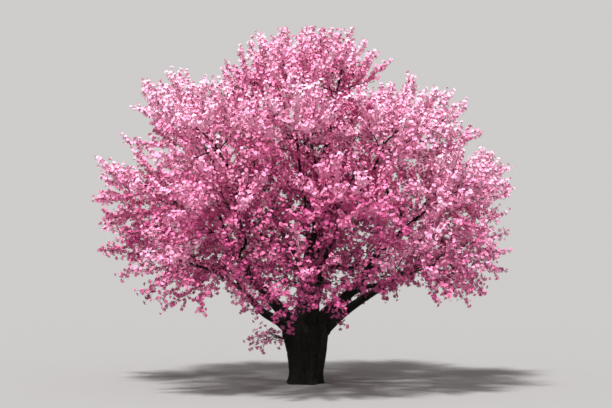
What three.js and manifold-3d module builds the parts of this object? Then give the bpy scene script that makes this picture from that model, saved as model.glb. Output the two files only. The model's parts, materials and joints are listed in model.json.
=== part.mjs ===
// A lone flowering cherry tree in full blossom: a short stout trunk that forks low, boughs that
// spread into a broad dome, and masses of blossom on twigs. Millimetres, +Z up, +X to the right
// and +Y to the back of the tree as it is usually seen. The origin is on the ground at the
// middle of the trunk's flat foot.

import * as THREE from "three";
import { mergeVertices } from "three/addons/utils/BufferGeometryUtils.js";
import Module from "manifold-3d";

const wasm = await Module();
wasm.setup();

// Driving dimensions of the trunk
const FORK_HEIGHT = 1500; // top of the trunk, where the boughs take over
const WAIST_RADIUS = 300; // without the root flare
const FORK_SWELL = 190; // how much wider it grows under the boughs
const SWELL_START = 0.02; // where it starts to widen, as a share of its height
const SWELL_RUN = 0.72; // over how much of its height it widens
const FOOT_SWELL = 95; // how much wider the root flare is at the ground
const FLARE_FALL = 7; // how fast the root flare dies out
const TRUNK_LEAN = new THREE.Vector3(-40, 60, 0); // of the fork against the foot
const TRUNK_BEND = 55; // to the right, half way up
const TRUNK_SIDES = 18;

// Driving dimensions of the boughs
const LOWEST_FORK = 800; // where the lowest bough leaves the trunk's middle line
const FORK_STEP = 55; // each next bough leaves this much higher
const LONE_BOUGH_RADIUS = 94; // at the base of a bough that carries one mass
const BOUGH_TIP_RADIUS = 32;
const BOUGH_STEPS = 6; // straight stretches in a bough
const WANDER = 0.028; // how far a bough wanders off its curve, as a share of its length
const TURNING_COST = 0.9; // of a bough that has to turn, as a share of the way that it goes
const PATH_COST = 0.35; // of wood that lies between its start and the trunk
const TOWARDS_UP = 0.12; // how far a bough turns up as it leaves the trunk, and at its tip
const TOWARDS_PARENT = 0.4; // how far a bough that leaves another sets off along it
const MEETING_GAP = 0.3; // between two pieces of wood that meet
const CUT_ROOM = 0.36; // how much fatter a piece is made to cut its place in a neighbour

// Driving dimensions of the blossom
const CROWN_MIDDLE = new THREE.Vector3(50, 0, 3000); // sprays point away from here
const TWIGS = 6; // from the stem of each mass
const TWIG_RADIUS = 17;
const SPROUT_STEM_RADIUS = 22;
const SPROUT_START = 690; // how high the sprout leaves the trunk's middle line
const STEM_STEPS = 4;
const STEM_PLACES = 12; // places down a stem, at any of which one twig can leave it
const SPRAYS_ON_SHOOT = [1, 0.78, 0.45]; // where sprays leave a shoot, as a share of its length
const SPRAY_LENGTH = 1250;
const SHORTEST_SPRAY = 0.42; // as a share of that, where there is little space
const SPRAY_WAIST = 0.54; // where a spray is widest, as a share of its own length
const SPRAY_WIDTH = 0.48;
const SPRAY_THICKNESS = 0.12;
const SPRAY_ROOM = 0.62; // the share of their half widths that two sprays keep to themselves
const SPACE_GAP = 12; // kept clear between two masses, and round a bough

// The crown's masses, by tier. Bearings go round from +X towards +Y, in degrees. Reach is from
// the tier's middle, which lies shift to the right of the trunk. Across and tall are the radii
// of one mass. The masses at the tier's left and right lie rise higher than its height, and
// those at front and back as much lower. Lift is how far the sprays turn up, or down if below 0.
const TIERS = [
  {
    name: "middle", count: 7, bearing: 180, reach: 3260, shift: 120,
    height: 4060, rise: 0, across: 1500, tall: 1200, lift: 0.3,
  },
  {
    name: "crest", count: 4, bearing: 172, reach: 800, shift: -20,
    height: 6560, rise: -40, across: 1200, tall: 1060, lift: 0.8,
  },
  {
    name: "upper", count: 7, bearing: 13, reach: 2560, shift: -100,
    height: 5440, rise: -60, across: 1400, tall: 1200, lift: 0.6,
  },
  {
    name: "inner", count: 3, bearing: 270, reach: 1150, shift: 0,
    height: 4400, rise: 0, across: 1300, tall: 1250, lift: 0.4,
  },
  {
    name: "skirt", count: 7, bearing: 270, reach: 3220, shift: 130,
    height: 2700, rise: 160, across: 1480, tall: 1120, lift: -0.1,
  },
];
// the masses whose boughs start at the trunk, lowest first
const FROM_TRUNK = ["skirt_7", "skirt_3", "middle_1", "middle_4", "middle_6", "middle_3", "crest_3"];
const SPROUT = { bearing: 190, reach: 860, height: 1000, across: 430, tall: 400, lift: -0.3, twigs: 3 };
const LAYOUT_SEED = 11;
const FIRST_MASS_SEED = 100;

const BARK = { color: 0x2b2320, roughness: 0.95, metalness: 0 };
const BLOSSOM = { color: 0xd98bb0, roughness: 0.8, metalness: 0 };

const UP = new THREE.Vector3(0, 0, 1);
const GOLDEN_ANGLE = Math.PI * (3 - Math.sqrt(5));

const blend = (a, b, share) => a.clone().lerp(b, share);
const along = (from, direction, distance) => from.clone().addScaledVector(direction, distance);
const wayTo = (from, to) => to.clone().sub(from).normalize();
const squareTo = (direction, vector) => along(vector, direction, -vector.dot(direction)).normalize();

// A stream of random numbers from 0 to 1 that is the same on every run.
function randomStream(seed) {
  let state = seed >>> 0;
  return () => {
    state = (state + 0x6d2b79f5) >>> 0;
    let mixed = Math.imul(state ^ (state >>> 15), state | 1);
    mixed ^= mixed + Math.imul(mixed ^ (mixed >>> 7), mixed | 61);
    return ((mixed ^ (mixed >>> 14)) >>> 0) / 4294967296;
  };
}

const either = (random, most) => (2 * random() - 1) * most;
const anyWay = (random) => new THREE.Vector3(either(random, 1), either(random, 1), either(random, 1));

// Places and directions on a line of points

function placeOn(points, share) {
  const at = share * (points.length - 1);
  const ring = Math.min(Math.floor(at), points.length - 2);
  return blend(points[ring], points[ring + 1], at - ring);
}

function directionOn(points, share) {
  const ring = Math.min(Math.floor(share * (points.length - 1)), points.length - 2);
  return wayTo(points[ring], points[ring + 1]);
}

function directionsAt(points) {
  return points.map((point, i) => {
    const before = points[Math.max(i - 1, 0)];
    const after = points[Math.min(i + 1, points.length - 1)];
    return wayTo(before, after);
  });
}

// Solids

function solidOf(geometry) {
  const bare = geometry.index ? geometry.toNonIndexed() : geometry.clone();
  bare.deleteAttribute("normal");
  bare.deleteAttribute("uv");
  const merged = mergeVertices(bare, 1e-3);
  const vertProperties = merged.attributes.position.array;
  const triVerts = new Uint32Array(merged.index.array);
  return new wasm.Manifold(new wasm.Mesh({ numProp: 3, vertProperties, triVerts }));
}

function largestBody(solid) {
  const bodies = solid.decompose();
  return bodies.reduce((best, body) => (body.volume() > best.volume() ? body : best));
}

function meshOf(name, solid, finish) {
  const { numProp, vertProperties, triVerts } = solid.getMesh();
  const positions = new Float32Array(triVerts.length * 3);
  triVerts.forEach((vertex, corner) => {
    const start = vertex * numProp;
    positions.set(vertProperties.subarray(start, start + 3), corner * 3);
  });
  const geometry = new THREE.BufferGeometry();
  geometry.setAttribute("position", new THREE.BufferAttribute(positions, 3));
  geometry.computeVertexNormals();
  const mesh = new THREE.Mesh(geometry, new THREE.MeshStandardMaterial(finish));
  mesh.name = name;
  return mesh;
}

// A long piece along a line of points: a capped cylinder, or a cone where it ends in a point,
// with each ring moved to its point. outline gives a corner's place in its ring, aside and
// across, from the ring and the corner's angle. aside starts out as firstAside.
function longPiece(points, outline, sides, pointed = false, firstAside = new THREE.Vector3(1, 0, 0)) {
  const rings = points.length - 1;
  const geometry = pointed
    ? new THREE.ConeGeometry(1, 1, sides, rings)
    : new THREE.CylinderGeometry(1, 1, 1, sides, rings);
  let aside = firstAside;
  const frames = directionsAt(points).map((direction) => {
    aside = squareTo(direction, aside);
    return { aside, across: aside.clone().cross(direction) };
  });
  const place = geometry.attributes.position;
  for (let i = 0; i < place.count; i++) {
    const ring = Math.round((place.getY(i) + 0.5) * rings);
    const x = place.getX(i);
    const z = place.getZ(i);
    const at = points[ring].clone();
    if (Math.hypot(x, z) > 1e-3) {
      // the angle is rounded, so that a corner lies at the same place in the cap and the side
      const quarter = Math.round((Math.atan2(z, x) * sides * 2) / Math.PI + 4 * sides) % (4 * sides);
      const [right, up] = outline(ring, (Math.PI * quarter) / (2 * sides));
      at.addScaledVector(frames[ring].aside, right).addScaledVector(frames[ring].across, up);
    }
    place.setXYZ(i, at.x, at.y, at.z);
  }
  return solidOf(geometry);
}

const roundOutline = (radius, angle) => [Math.cos(angle) * radius, Math.sin(angle) * radius];

// Trunk: it narrows above the root flare, widens and takes on ribs towards the boughs, and
// closes in above its crown. Its levels are shares of its height.

const TRUNK_CROWN = 0.74;
const TRUNK_LEVELS = [-0.06, 0.04, 0.12, 0.26, 0.42, 0.58, TRUNK_CROWN, 0.84, 0.93, 1];

function trunkPoint(share) {
  const bend = TRUNK_BEND * Math.sin(Math.PI * share);
  return new THREE.Vector3(bend, 0, FORK_HEIGHT * share).addScaledVector(TRUNK_LEAN, share);
}

function trunkRadius(share, angle) {
  const foot = FOOT_SWELL * Math.exp(-share * FLARE_FALL) * (1 + 0.55 * Math.cos(5 * angle + 0.6));
  const fork = FORK_SWELL * THREE.MathUtils.clamp((share - SWELL_START) / SWELL_RUN, 0, 1);
  const ribs = 1 + 0.05 * (0.3 + share) * Math.cos(6 * angle + 1.2);
  const closing = 1 - 0.45 * (Math.max(0, share - TRUNK_CROWN) / (1 - TRUNK_CROWN)) ** 1.7;
  return (WAIST_RADIUS + foot + fork) * ribs * closing;
}

function trunkPiece(extra) {
  const points = TRUNK_LEVELS.map((share) => {
    const point = trunkPoint(share);
    return share > TRUNK_CROWN ? along(point, UP, extra) : point;
  });
  const outline = (ring, angle) => roundOutline(trunkRadius(TRUNK_LEVELS[ring], angle) + extra, angle);
  return longPiece(points, outline, TRUNK_SIDES).trimByPlane([0, 0, 1], 0);
}

// Crown: where each mass of blossom lies.

function layOutMasses() {
  const random = randomStream(LAYOUT_SEED);
  const masses = [];
  for (const tier of TIERS) {
    for (let i = 0; i < tier.count; i++) {
      const swing = tier.count > 2 ? either(random, 7) : 0;
      const bearing = THREE.MathUtils.degToRad(tier.bearing + (360 * i) / tier.count + swing);
      const reach = tier.reach * (1 + either(random, 0.04));
      const height = tier.height + tier.rise * Math.cos(2 * bearing) + either(random, 120);
      const size = 1 + either(random, 0.07);
      const heart = new THREE.Vector3(Math.cos(bearing), Math.sin(bearing), 0).multiplyScalar(reach);
      heart.x += tier.shift;
      heart.z = height;
      masses.push({
        name: `${tier.name}_${i + 1}`,
        heart,
        across: tier.across * size,
        tall: tier.tall * size,
        lift: tier.lift,
        twigs: TWIGS,
      });
    }
  }
  const bearing = THREE.MathUtils.degToRad(SPROUT.bearing);
  const heart = new THREE.Vector3(Math.cos(bearing), Math.sin(bearing), 0).multiplyScalar(SPROUT.reach);
  heart.z = SPROUT.height;
  masses.push({ ...SPROUT, name: "sprout", heart });
  return masses.map((mass, i) => ({ ...mass, seed: FIRST_MASS_SEED + i }));
}

// True if a point lies in the mass's own space: in its rounded form, and on its side of the
// plane between it and each other mass.
function inSpace(mass, masses, point, inset) {
  const off = point.clone().sub(mass.heart);
  const across = Math.hypot(off.x, off.y) / (mass.across - inset);
  const tall = off.z / (mass.tall - inset);
  if (across * across + tall * tall > 1) return false;
  return masses.every((other) => {
    if (other === mass) return true;
    const apart = mass.heart.distanceTo(other.heart);
    const limit = (apart * mass.across) / (mass.across + other.across) - SPACE_GAP / 2;
    return off.dot(wayTo(mass.heart, other.heart)) <= limit;
  });
}

// Boughs: each runs from the trunk or another bough to the inner side of its mass.

// Where a bough enters its mass, on the side that faces the tree's lower middle.
function entryOf(mass) {
  const source = new THREE.Vector3(0, 0, Math.max(FORK_HEIGHT, mass.heart.z * 0.5));
  const inward = wayTo(mass.heart, source);
  const steep = Math.abs(inward.z);
  return along(mass.heart, inward, 0.6 * (mass.across * (1 - steep) + mass.tall * steep));
}

// The place on the limbs so far from which it takes least wood and least turning to reach goal.
function bestStart(limbs, goal) {
  let best = null;
  for (const limb of limbs) {
    const directions = directionsAt(limb.points);
    for (let ring = 1; ring < BOUGH_STEPS; ring++) {
      if (limb.taken.has(ring)) continue;
      const turning = 1 - wayTo(limb.points[ring], goal).dot(directions[ring]);
      const path = limb.before + (limb.length * ring) / BOUGH_STEPS;
      const way = limb.points[ring].distanceTo(goal);
      const cost = way * (1 + TURNING_COST * turning) + PATH_COST * path;
      if (!best || cost < best.cost) best = { limb, ring, cost, path, direction: directions[ring] };
    }
  }
  return best;
}

function limbRadius(limb, ring) {
  const share = ring / BOUGH_STEPS;
  return limb.radius + (BOUGH_TIP_RADIUS - limb.radius) * share ** 0.8;
}

function growBough(mass, limbs, random) {
  const end = entryOf(mass);
  const limb = { mass, parent: null, before: 0, load: 1, taken: new Set() };
  const place = FROM_TRUNK.indexOf(mass.name);
  let start;
  let leaving;
  if (place >= 0) {
    start = trunkPoint((LOWEST_FORK + FORK_STEP * place) / FORK_HEIGHT);
    leaving = blend(wayTo(start, end), UP, TOWARDS_UP).normalize();
  } else {
    const found = bestStart(limbs, end);
    found.limb.taken.add(found.ring);
    start = found.limb.points[found.ring];
    leaving = blend(wayTo(start, end), found.direction, TOWARDS_PARENT).normalize();
    Object.assign(limb, { parent: found.limb, parentRing: found.ring, before: found.path });
  }
  limb.length = start.distanceTo(end);
  const arriving = blend(wayTo(end, mass.heart), UP, TOWARDS_UP).normalize();
  const curve = new THREE.CubicBezierCurve3(
    start,
    along(start, leaving, 0.36 * limb.length),
    along(end, arriving, -0.3 * limb.length),
    end,
  );
  limb.points = curve.getPoints(BOUGH_STEPS);
  for (let ring = 2; ring < BOUGH_STEPS - 1; ring++) {
    limb.points[ring].addScaledVector(anyWay(random), WANDER * limb.length);
  }
  return limb;
}

function growBoughs(masses) {
  const random = randomStream(LAYOUT_SEED + 1);
  const carried = masses.filter((mass) => mass.name !== "sprout");
  const first = carried.filter((mass) => FROM_TRUNK.includes(mass.name));
  const rest = carried.filter((mass) => !FROM_TRUNK.includes(mass.name));
  const limbs = [];
  for (const mass of [...first, ...rest]) limbs.push(growBough(mass, limbs, random));
  for (const limb of limbs) {
    for (let parent = limb.parent; parent; parent = parent.parent) parent.load += 1;
  }
  for (const limb of limbs) {
    const wanted = LONE_BOUGH_RADIUS * Math.sqrt(limb.load);
    const most = limb.parent ? 0.74 * limbRadius(limb.parent, limb.parentRing) : wanted;
    limb.radius = Math.min(wanted, Math.max(most, 1.3 * BOUGH_TIP_RADIUS));
  }
  return limbs;
}

function boughPiece(limb, extra) {
  const outline = (ring, angle) => roundOutline(limbRadius(limb, ring) + extra, angle);
  return longPiece(limb.points, outline, limb.parent ? 6 : 8);
}

// True if a straight stretch from a to b, of the given radius, stays off every limb but skipped.
function clearOfLimbs(limbs, a, b, radius, skipped = null) {
  const stretch = new THREE.Line3(a, b);
  const near = new THREE.Vector3();
  const parts = 6;
  return limbs.every((limb) => {
    if (limb === skipped) return true;
    for (let i = 0; i < BOUGH_STEPS * parts; i++) {
      const ring = Math.floor(i / parts);
      const at = blend(limb.points[ring], limb.points[ring + 1], (i % parts) / parts);
      stretch.closestPointToPoint(at, true, near);
      if (near.distanceTo(at) < limbRadius(limb, ring) + radius + SPACE_GAP) return false;
    }
    return true;
  });
}

// Twigs and sprays of one mass, by the seeded rule.

// A mass's stem, from its bough's tip or from inside the trunk: the first of a few bends that
// stays off the limbs.
function growStem(mass, limbs, random) {
  const bough = limbs.find((limb) => limb.mass === mass);
  const start = bough ? bough.points.at(-1) : trunkPoint(SPROUT_START / FORK_HEIGHT);
  const settingOff = bough
    ? directionOn(bough.points, 1)
    : blend(wayTo(start, mass.heart), UP, 0.1).normalize();
  const entry = bough ? along(start, settingOff, MEETING_GAP) : start;
  const radius = bough ? BOUGH_TIP_RADIUS : SPROUT_STEM_RADIUS;
  const outward = wayTo(entry, mass.heart);
  const bend = along(entry, settingOff, 0.4 * entry.distanceTo(mass.heart));
  let points;
  for (let tries = 0; tries < 30; tries++) {
    const astray = anyWay(random).multiplyScalar(0.03 * tries * mass.across);
    const turn = along(bend, settingOff, 0.15 * mass.across).addScaledVector(astray, 0.5);
    const end = along(mass.heart, outward, 0.22 * mass.across).add(astray);
    const curve = new THREE.QuadraticBezierCurve3(bend, turn, end);
    points = [entry, ...curve.getPoints(STEM_STEPS - 1)];
    const clear = points.slice(1).every((point, i) =>
      clearOfLimbs(limbs, points[i], point, radius, i === 0 ? bough : null),
    );
    if (clear) break;
  }
  return { points, radius, narrowing: 0.55, sides: 4 };
}

function randomPlace(mass, random, inset) {
  const height = either(random, 1);
  const turn = 2 * Math.PI * random();
  const far = Math.cbrt(0.12 + 0.88 * random());
  const flat = Math.sqrt(1 - height * height) * far * (mass.across - inset);
  const up = height * far * (mass.tall - inset);
  return new THREE.Vector3(Math.cos(turn) * flat, Math.sin(turn) * flat, up).add(mass.heart);
}

// Ends for the twigs, each as far from the ones before as a few tries can find.
function twigEnds(mass, masses, entry, random) {
  const ends = [];
  for (let i = 0; i < mass.twigs; i++) {
    let best = null;
    for (let tries = 0; tries < 14; tries++) {
      const place = randomPlace(mass, random, 0.48 * mass.across);
      if (!inSpace(mass, masses, place, 0.25 * mass.across)) continue;
      const gap = Math.min(...[entry, ...ends].map((end) => end.distanceTo(place)));
      if (!best || gap > best.gap) best = { place, gap };
    }
    if (best) ends.push(best.place);
  }
  return ends;
}

// A straight twig to the given end, from the free place on the stem that suits it best.
function growTwig(stem, end, taken) {
  let best = null;
  for (let place = 2; place < STEM_PLACES; place++) {
    if (taken.has(place)) continue;
    const share = place / STEM_PLACES;
    const start = placeOn(stem.points, share);
    const ahead = wayTo(start, end).dot(directionOn(stem.points, share));
    if (ahead > 0.9) continue;
    const cost = start.distanceTo(end) * (1.6 - 0.6 * ahead) + 40 * place;
    if (!best || cost < best.cost) best = { start, share, cost, place };
  }
  if (!best) return null;
  const stemRadius = stem.radius * (1 - stem.narrowing * best.share);
  const radius = Math.min(TWIG_RADIUS, 0.6 * stemRadius);
  return { points: [best.start, end], radius, narrowing: 0.28, sides: 3, place: best.place };
}

// A spray is a keeled blade: two edges and a keel at its waist, and a point at each end.
function sprayCorners({ root, direction, flat, length }) {
  const wide = direction.clone().cross(flat).normalize();
  const middle = along(root, direction, SPRAY_WAIST * length);
  return {
    tip: along(root, direction, length),
    keel: along(middle, flat, SPRAY_THICKNESS * length),
    left: along(middle, wide, (SPRAY_WIDTH * length) / 2),
    right: along(middle, wide, (SPRAY_WIDTH * length) / -2),
  };
}

// Points down a spray's middle, each with the spray's half width there.
function sprayBalls({ root, direction, length }) {
  return [0.34, 0.54, 0.74, 0.92].map((share) => {
    const fullness = share < SPRAY_WAIST ? share / SPRAY_WAIST : (1 - share) / (1 - SPRAY_WAIST);
    return { at: along(root, direction, share * length), radius: (fullness * SPRAY_WIDTH * length) / 2 };
  });
}

// True if a spray keeps off the other sprays and shoots, so that each stands out by itself.
function standsApart(balls, own, shoots, sprays) {
  const near = new THREE.Vector3();
  const offShoot = (shoot) =>
    shoot.points.slice(1).every((point, i) => {
      const stretch = new THREE.Line3(shoot.points[i], point);
      return balls.every((ball) => {
        stretch.closestPointToPoint(ball.at, true, near);
        return near.distanceTo(ball.at) > 0.8 * ball.radius + TWIG_RADIUS;
      });
    });
  const offSpray = (spray) =>
    spray.balls.every((other) =>
      balls.every((ball) => ball.at.distanceTo(other.at) > SPRAY_ROOM * (ball.radius + other.radius) + 25),
    );
  return sprays.every(offSpray) && shoots.every((shoot) => shoot === own || offShoot(shoot));
}

// The longest spray from this root that stays in the mass's space, and off limbs and sprays.
function fitSpray(room, own, root, direction, flat, wanted) {
  const { mass, masses, limbs, shoots, sprays } = room;
  for (let share = 1; share >= SHORTEST_SPRAY; share -= 0.1) {
    const length = wanted * share;
    const spray = { root, direction, flat, length, own };
    spray.balls = sprayBalls(spray);
    const corners = Object.values(sprayCorners(spray));
    if (!corners.every((corner) => inSpace(mass, masses, corner, 4))) continue;
    if (!standsApart(spray.balls, own, shoots, sprays)) continue;
    const from = along(root, direction, 0.3 * length);
    const to = along(root, direction, 0.78 * length);
    const offBoughs = clearOfLimbs(limbs, from, to, 0.385 * SPRAY_WIDTH * length);
    if (offBoughs && clearOfLimbs(limbs, root, to, 30)) return spray;
  }
  return null;
}

// The longest spray at a place on a shoot, out of a few turns round it. At the shoot's end it
// goes on from the shoot, and elsewhere it leaves to one side.
function growSpray(room, own, share, wanted, random) {
  const { mass, sprays } = room;
  const atEnd = share === 1;
  const root = placeOn(own.points, share);
  const tangent = directionOn(own.points, share);
  const tilt = either(random, 0.6);
  const roll = new THREE.Vector3(either(random, 1), either(random, 1), 1.1);
  let best = null;
  for (let tries = 0; tries < 6; tries++) {
    const turn = GOLDEN_ANGLE * (sprays.length + tries);
    const side = new THREE.Vector3(Math.cos(turn), Math.sin(turn), tilt).cross(tangent).normalize();
    const direction = tangent
      .clone()
      .multiplyScalar(atEnd ? 1.2 : 0.45)
      .addScaledVector(side, atEnd ? 0.1 * tries : 0.9)
      .addScaledVector(wayTo(mass.heart, root), 0.3)
      .addScaledVector(wayTo(CROWN_MIDDLE, root), 0.3)
      .addScaledVector(UP, 0.8 * mass.lift)
      .normalize();
    const ahead = direction.dot(tangent);
    if (atEnd ? ahead < 0.5 : ahead > 0.86) continue;
    const spray = fitSpray(room, own, root, direction, squareTo(direction, roll), wanted);
    if (spray && (!best || spray.length > best.length)) best = spray;
  }
  return best;
}

function growMass(mass, masses, limbs) {
  const random = randomStream(mass.seed);
  const size = mass.across / TIERS[0].across;
  const stem = growStem(mass, limbs, random);
  const shoots = [stem];
  const taken = new Set();
  for (const end of twigEnds(mass, masses, stem.points[0], random)) {
    const twig = growTwig(stem, end, taken);
    if (!twig || !inSpace(mass, masses, end, TWIG_RADIUS + 4)) continue;
    if (!clearOfLimbs(limbs, twig.points[0], end, TWIG_RADIUS)) continue;
    taken.add(twig.place);
    shoots.push(twig);
  }
  const room = { mass, masses, limbs, shoots, sprays: [] };
  for (const share of SPRAYS_ON_SHOOT) {
    for (const shoot of shoots) {
      const wanted = SPRAY_LENGTH * size * (1 + either(random, 0.15));
      const spray = growSpray(room, shoot, share, wanted, random);
      if (spray) room.sprays.push(spray);
      if (share === 1) shoot.endSpray = spray;
    }
  }
  return room;
}

// A shoot, in one piece with its end spray: the ring after its last is the spray's waist.
function shootPiece({ points, radius, narrowing, sides, endSpray }) {
  const last = points.length - 1;
  const bare = (ring, angle) => roundOutline(radius * (1 - (narrowing * ring) / last), angle);
  if (!endSpray) return longPiece(points, bare, sides);
  const { root, direction, flat, length } = endSpray;
  const edge = (SPRAY_WIDTH * length) / 2;
  const keel = SPRAY_THICKNESS * length;
  const waist = [[edge, 0], [0, keel], [-edge, 0], [0, -keel / 8]];
  const outline = (ring, angle) =>
    ring > last ? waist[Math.round((angle * sides) / (2 * Math.PI))] : bare(ring, angle);
  const line = [...points, along(root, direction, SPRAY_WAIST * length), along(root, direction, length)];
  return longPiece(line, outline, sides, true, direction.clone().cross(flat).normalize());
}

// A spray from the side of a shoot: six faces, from a point inside the shoot.
function sidePiece(spray) {
  const { tip, keel, left, right } = sprayCorners(spray);
  const root = spray.root;
  const geometry = new THREE.BufferGeometry().setFromPoints([
    ...[tip, keel, left, tip, right, keel, tip, left, right],
    ...[root, left, keel, root, keel, right, root, right, left],
  ]);
  return solidOf(geometry);
}

function massPiece({ shoots, sprays }, rooms) {
  const sideSprays = sprays.filter((spray) => spray !== spray.own.endSpray);
  const pieces = [...shoots.map(shootPiece), ...sideSprays.map(sidePiece)];
  const whole = pieces.reduce((solid, piece) => solid.add(piece));
  return largestBody(rooms.reduce((solid, room) => solid.subtract(room), whole));
}

function buildTree() {
  const tree = new THREE.Group();
  tree.name = "flowering_cherry";
  tree.add(meshOf("trunk", trunkPiece(0), BARK));

  const masses = layOutMasses();
  const limbs = growBoughs(masses);
  const rooms = [trunkPiece(CUT_ROOM)];
  for (const limb of limbs) {
    const solid = rooms.reduce((left, room) => left.subtract(room), boughPiece(limb, 0));
    tree.add(meshOf(`bough_${limb.mass.name}`, largestBody(solid), BARK));
    rooms.push(boughPiece(limb, CUT_ROOM));
  }
  for (const mass of masses) {
    const solid = massPiece(growMass(mass, masses, limbs), rooms);
    tree.add(meshOf(`blossom_${mass.name}`, solid, BLOSSOM));
  }
  return tree;
}

export default buildTree();
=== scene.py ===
# %% [markdown]
# # A flowering cherry
# A mountain cherry that has grown in the open is a short, stout trunk that forks low, boughs that
# rise and spread from it, and a broad dome of blossom. In full flower, before the leaves, every
# twig is wrapped in blossom from end to end, so from a step away the crown is made of plumes.
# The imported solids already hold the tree's sizes. Here they get their looks: bark, fine twigs and
# single flowers. Lengths are in metres, with X to the right, Y to the back and Z up.

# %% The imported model
import json
import math
from dataclasses import dataclass, field

import bmesh
import bpy
import numpy as np
from mathutils import Matrix, Vector, kdtree, noise

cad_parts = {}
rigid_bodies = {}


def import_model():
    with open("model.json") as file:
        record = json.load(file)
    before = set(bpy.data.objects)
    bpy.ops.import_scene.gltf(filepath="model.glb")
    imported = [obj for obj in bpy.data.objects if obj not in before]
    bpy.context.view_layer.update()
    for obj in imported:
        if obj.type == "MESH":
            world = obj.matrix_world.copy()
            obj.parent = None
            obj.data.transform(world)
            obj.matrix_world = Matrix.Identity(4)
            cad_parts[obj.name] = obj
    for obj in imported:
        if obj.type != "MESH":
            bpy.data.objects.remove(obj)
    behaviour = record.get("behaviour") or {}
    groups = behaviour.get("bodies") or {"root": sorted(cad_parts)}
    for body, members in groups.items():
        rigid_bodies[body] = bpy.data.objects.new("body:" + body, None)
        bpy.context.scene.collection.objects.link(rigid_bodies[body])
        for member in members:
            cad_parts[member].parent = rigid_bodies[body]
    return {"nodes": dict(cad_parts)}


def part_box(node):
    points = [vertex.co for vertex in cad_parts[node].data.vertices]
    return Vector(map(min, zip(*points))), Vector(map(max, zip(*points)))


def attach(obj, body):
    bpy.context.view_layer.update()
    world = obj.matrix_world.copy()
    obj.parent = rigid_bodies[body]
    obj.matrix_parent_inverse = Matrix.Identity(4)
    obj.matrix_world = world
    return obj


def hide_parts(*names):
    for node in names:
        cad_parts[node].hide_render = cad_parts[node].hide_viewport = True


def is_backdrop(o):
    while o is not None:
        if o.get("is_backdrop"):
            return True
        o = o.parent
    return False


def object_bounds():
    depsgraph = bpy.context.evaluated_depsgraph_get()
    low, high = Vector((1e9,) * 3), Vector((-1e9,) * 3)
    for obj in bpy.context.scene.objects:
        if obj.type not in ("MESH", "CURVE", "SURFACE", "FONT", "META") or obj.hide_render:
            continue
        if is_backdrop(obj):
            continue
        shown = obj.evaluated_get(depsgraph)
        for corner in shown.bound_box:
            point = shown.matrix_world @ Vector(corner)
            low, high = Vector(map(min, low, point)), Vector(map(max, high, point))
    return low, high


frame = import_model()
solid_low, solid_high = (np.array(corner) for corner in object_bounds())
print("nodes in the packed model:", len(frame["nodes"]))
print("its box:", solid_low.round(3), solid_high.round(3))

# %% [markdown]
# ## The camera
# The tree is seen almost level and from far away, so that near and far boughs are drawn to nearly
# the same scale. A wide lens close by would give the right frame too, but it would swell the
# nearest masses. A long lens a good way off is chosen, with the tree filling the frame's height.

# %% The camera
camera_distance = 90.0
height_in_view = 8.75
view_shape = 612 / 408  # width to height
sensor_width = 36
camera_tilt = math.radians(3)
aim = Vector((0.03, 0, 3.86))

camera = bpy.data.objects.new("camera", bpy.data.cameras.new("camera"))
bpy.context.scene.collection.objects.link(camera)
camera.data.sensor_width = sensor_width
camera.data.lens = sensor_width * camera_distance / (height_in_view * view_shape)
camera.data.clip_end = 2000
camera.location = aim + camera_distance * Vector((0, -math.cos(camera_tilt), math.sin(camera_tilt)))
camera.rotation_euler = (math.pi / 2 - camera_tilt, 0, 0)
bpy.context.scene.camera = camera
print("lens, mm:", round(camera.data.lens))

# %% [markdown]
# ## Chance that repeats
# A tree is full of small accidents, and a script has to meet the same ones on each run. A library's
# random numbers would do, but the solids were grown by a rule in another language, and the finer
# growth has to start from the very same limbs. So the rule's own stream of numbers is written
# again: 32-bit whole numbers, stirred by shifts and products.

# %% A stream of random numbers
WHOLE = 0xFFFFFFFF  # the largest 32-bit number
STRIDE = 0x6D2B79F5


def random_stream(seed):
    state = seed

    def draw():
        nonlocal state
        state = (state + STRIDE) & WHOLE
        mixed = ((state ^ (state >> 15)) * (state | 1)) & WHOLE
        mixed ^= (mixed + ((mixed ^ (mixed >> 7)) * (mixed | 61) & WHOLE)) & WHOLE
        return (mixed ^ (mixed >> 14)) / (WHOLE + 1)

    return draw


def either(random, most):
    return (2 * random() - 1) * most


def any_way(random):
    return np.array([either(random, 1), either(random, 1), either(random, 1)])


test_stream = random_stream(1)
print("first numbers of stream 1:", [round(test_stream(), 4) for _ in range(4)])

# %% [markdown]
# ## Directions and lines
# Every limb, twig and stem here is a line of points with a thickness. A few small helpers say how
# to go from one point to another, how to find a place on a line, and which way the line runs there.

# %% Directions and lines
UP = np.array([0.0, 0.0, 1.0])
GOLDEN_ANGLE = math.pi * (3 - math.sqrt(5))


def unit(vector):
    return vector / np.linalg.norm(vector)


def way_to(start, end):
    return unit(end - start)


def blend(a, b, share):
    return a + (b - a) * share


def square_to(direction, vector):
    return unit(vector - direction * vector.dot(direction))


def place_on(points, share):
    at = share * (len(points) - 1)
    ring = min(math.floor(at), len(points) - 2)
    return blend(points[ring], points[ring + 1], at - ring)


def direction_on(points, share):
    ring = min(math.floor(share * (len(points) - 1)), len(points) - 2)
    return way_to(points[ring], points[ring + 1])


def directions_at(points):
    last = len(points) - 1
    return [way_to(points[max(i - 1, 0)], points[min(i + 1, last)]) for i in range(last + 1)]


def curve_points(handles, steps):
    """Points on the smooth curve that three or four handles pull into shape."""
    line = []
    for share in np.linspace(0, 1, steps + 1):
        level = list(handles)
        while len(level) > 1:
            level = [blend(a, b, share) for a, b in zip(level, level[1:])]
        line.append(level[0])
    return line


# %% [markdown]
# ## The trunk's own shape
# The trunk narrows above its root flare, then widens and takes on ribs where the boughs gather. Its
# middle line leans and bends a little. The numbers are the solid's, because the bark must lie on
# the same trunk.

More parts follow.
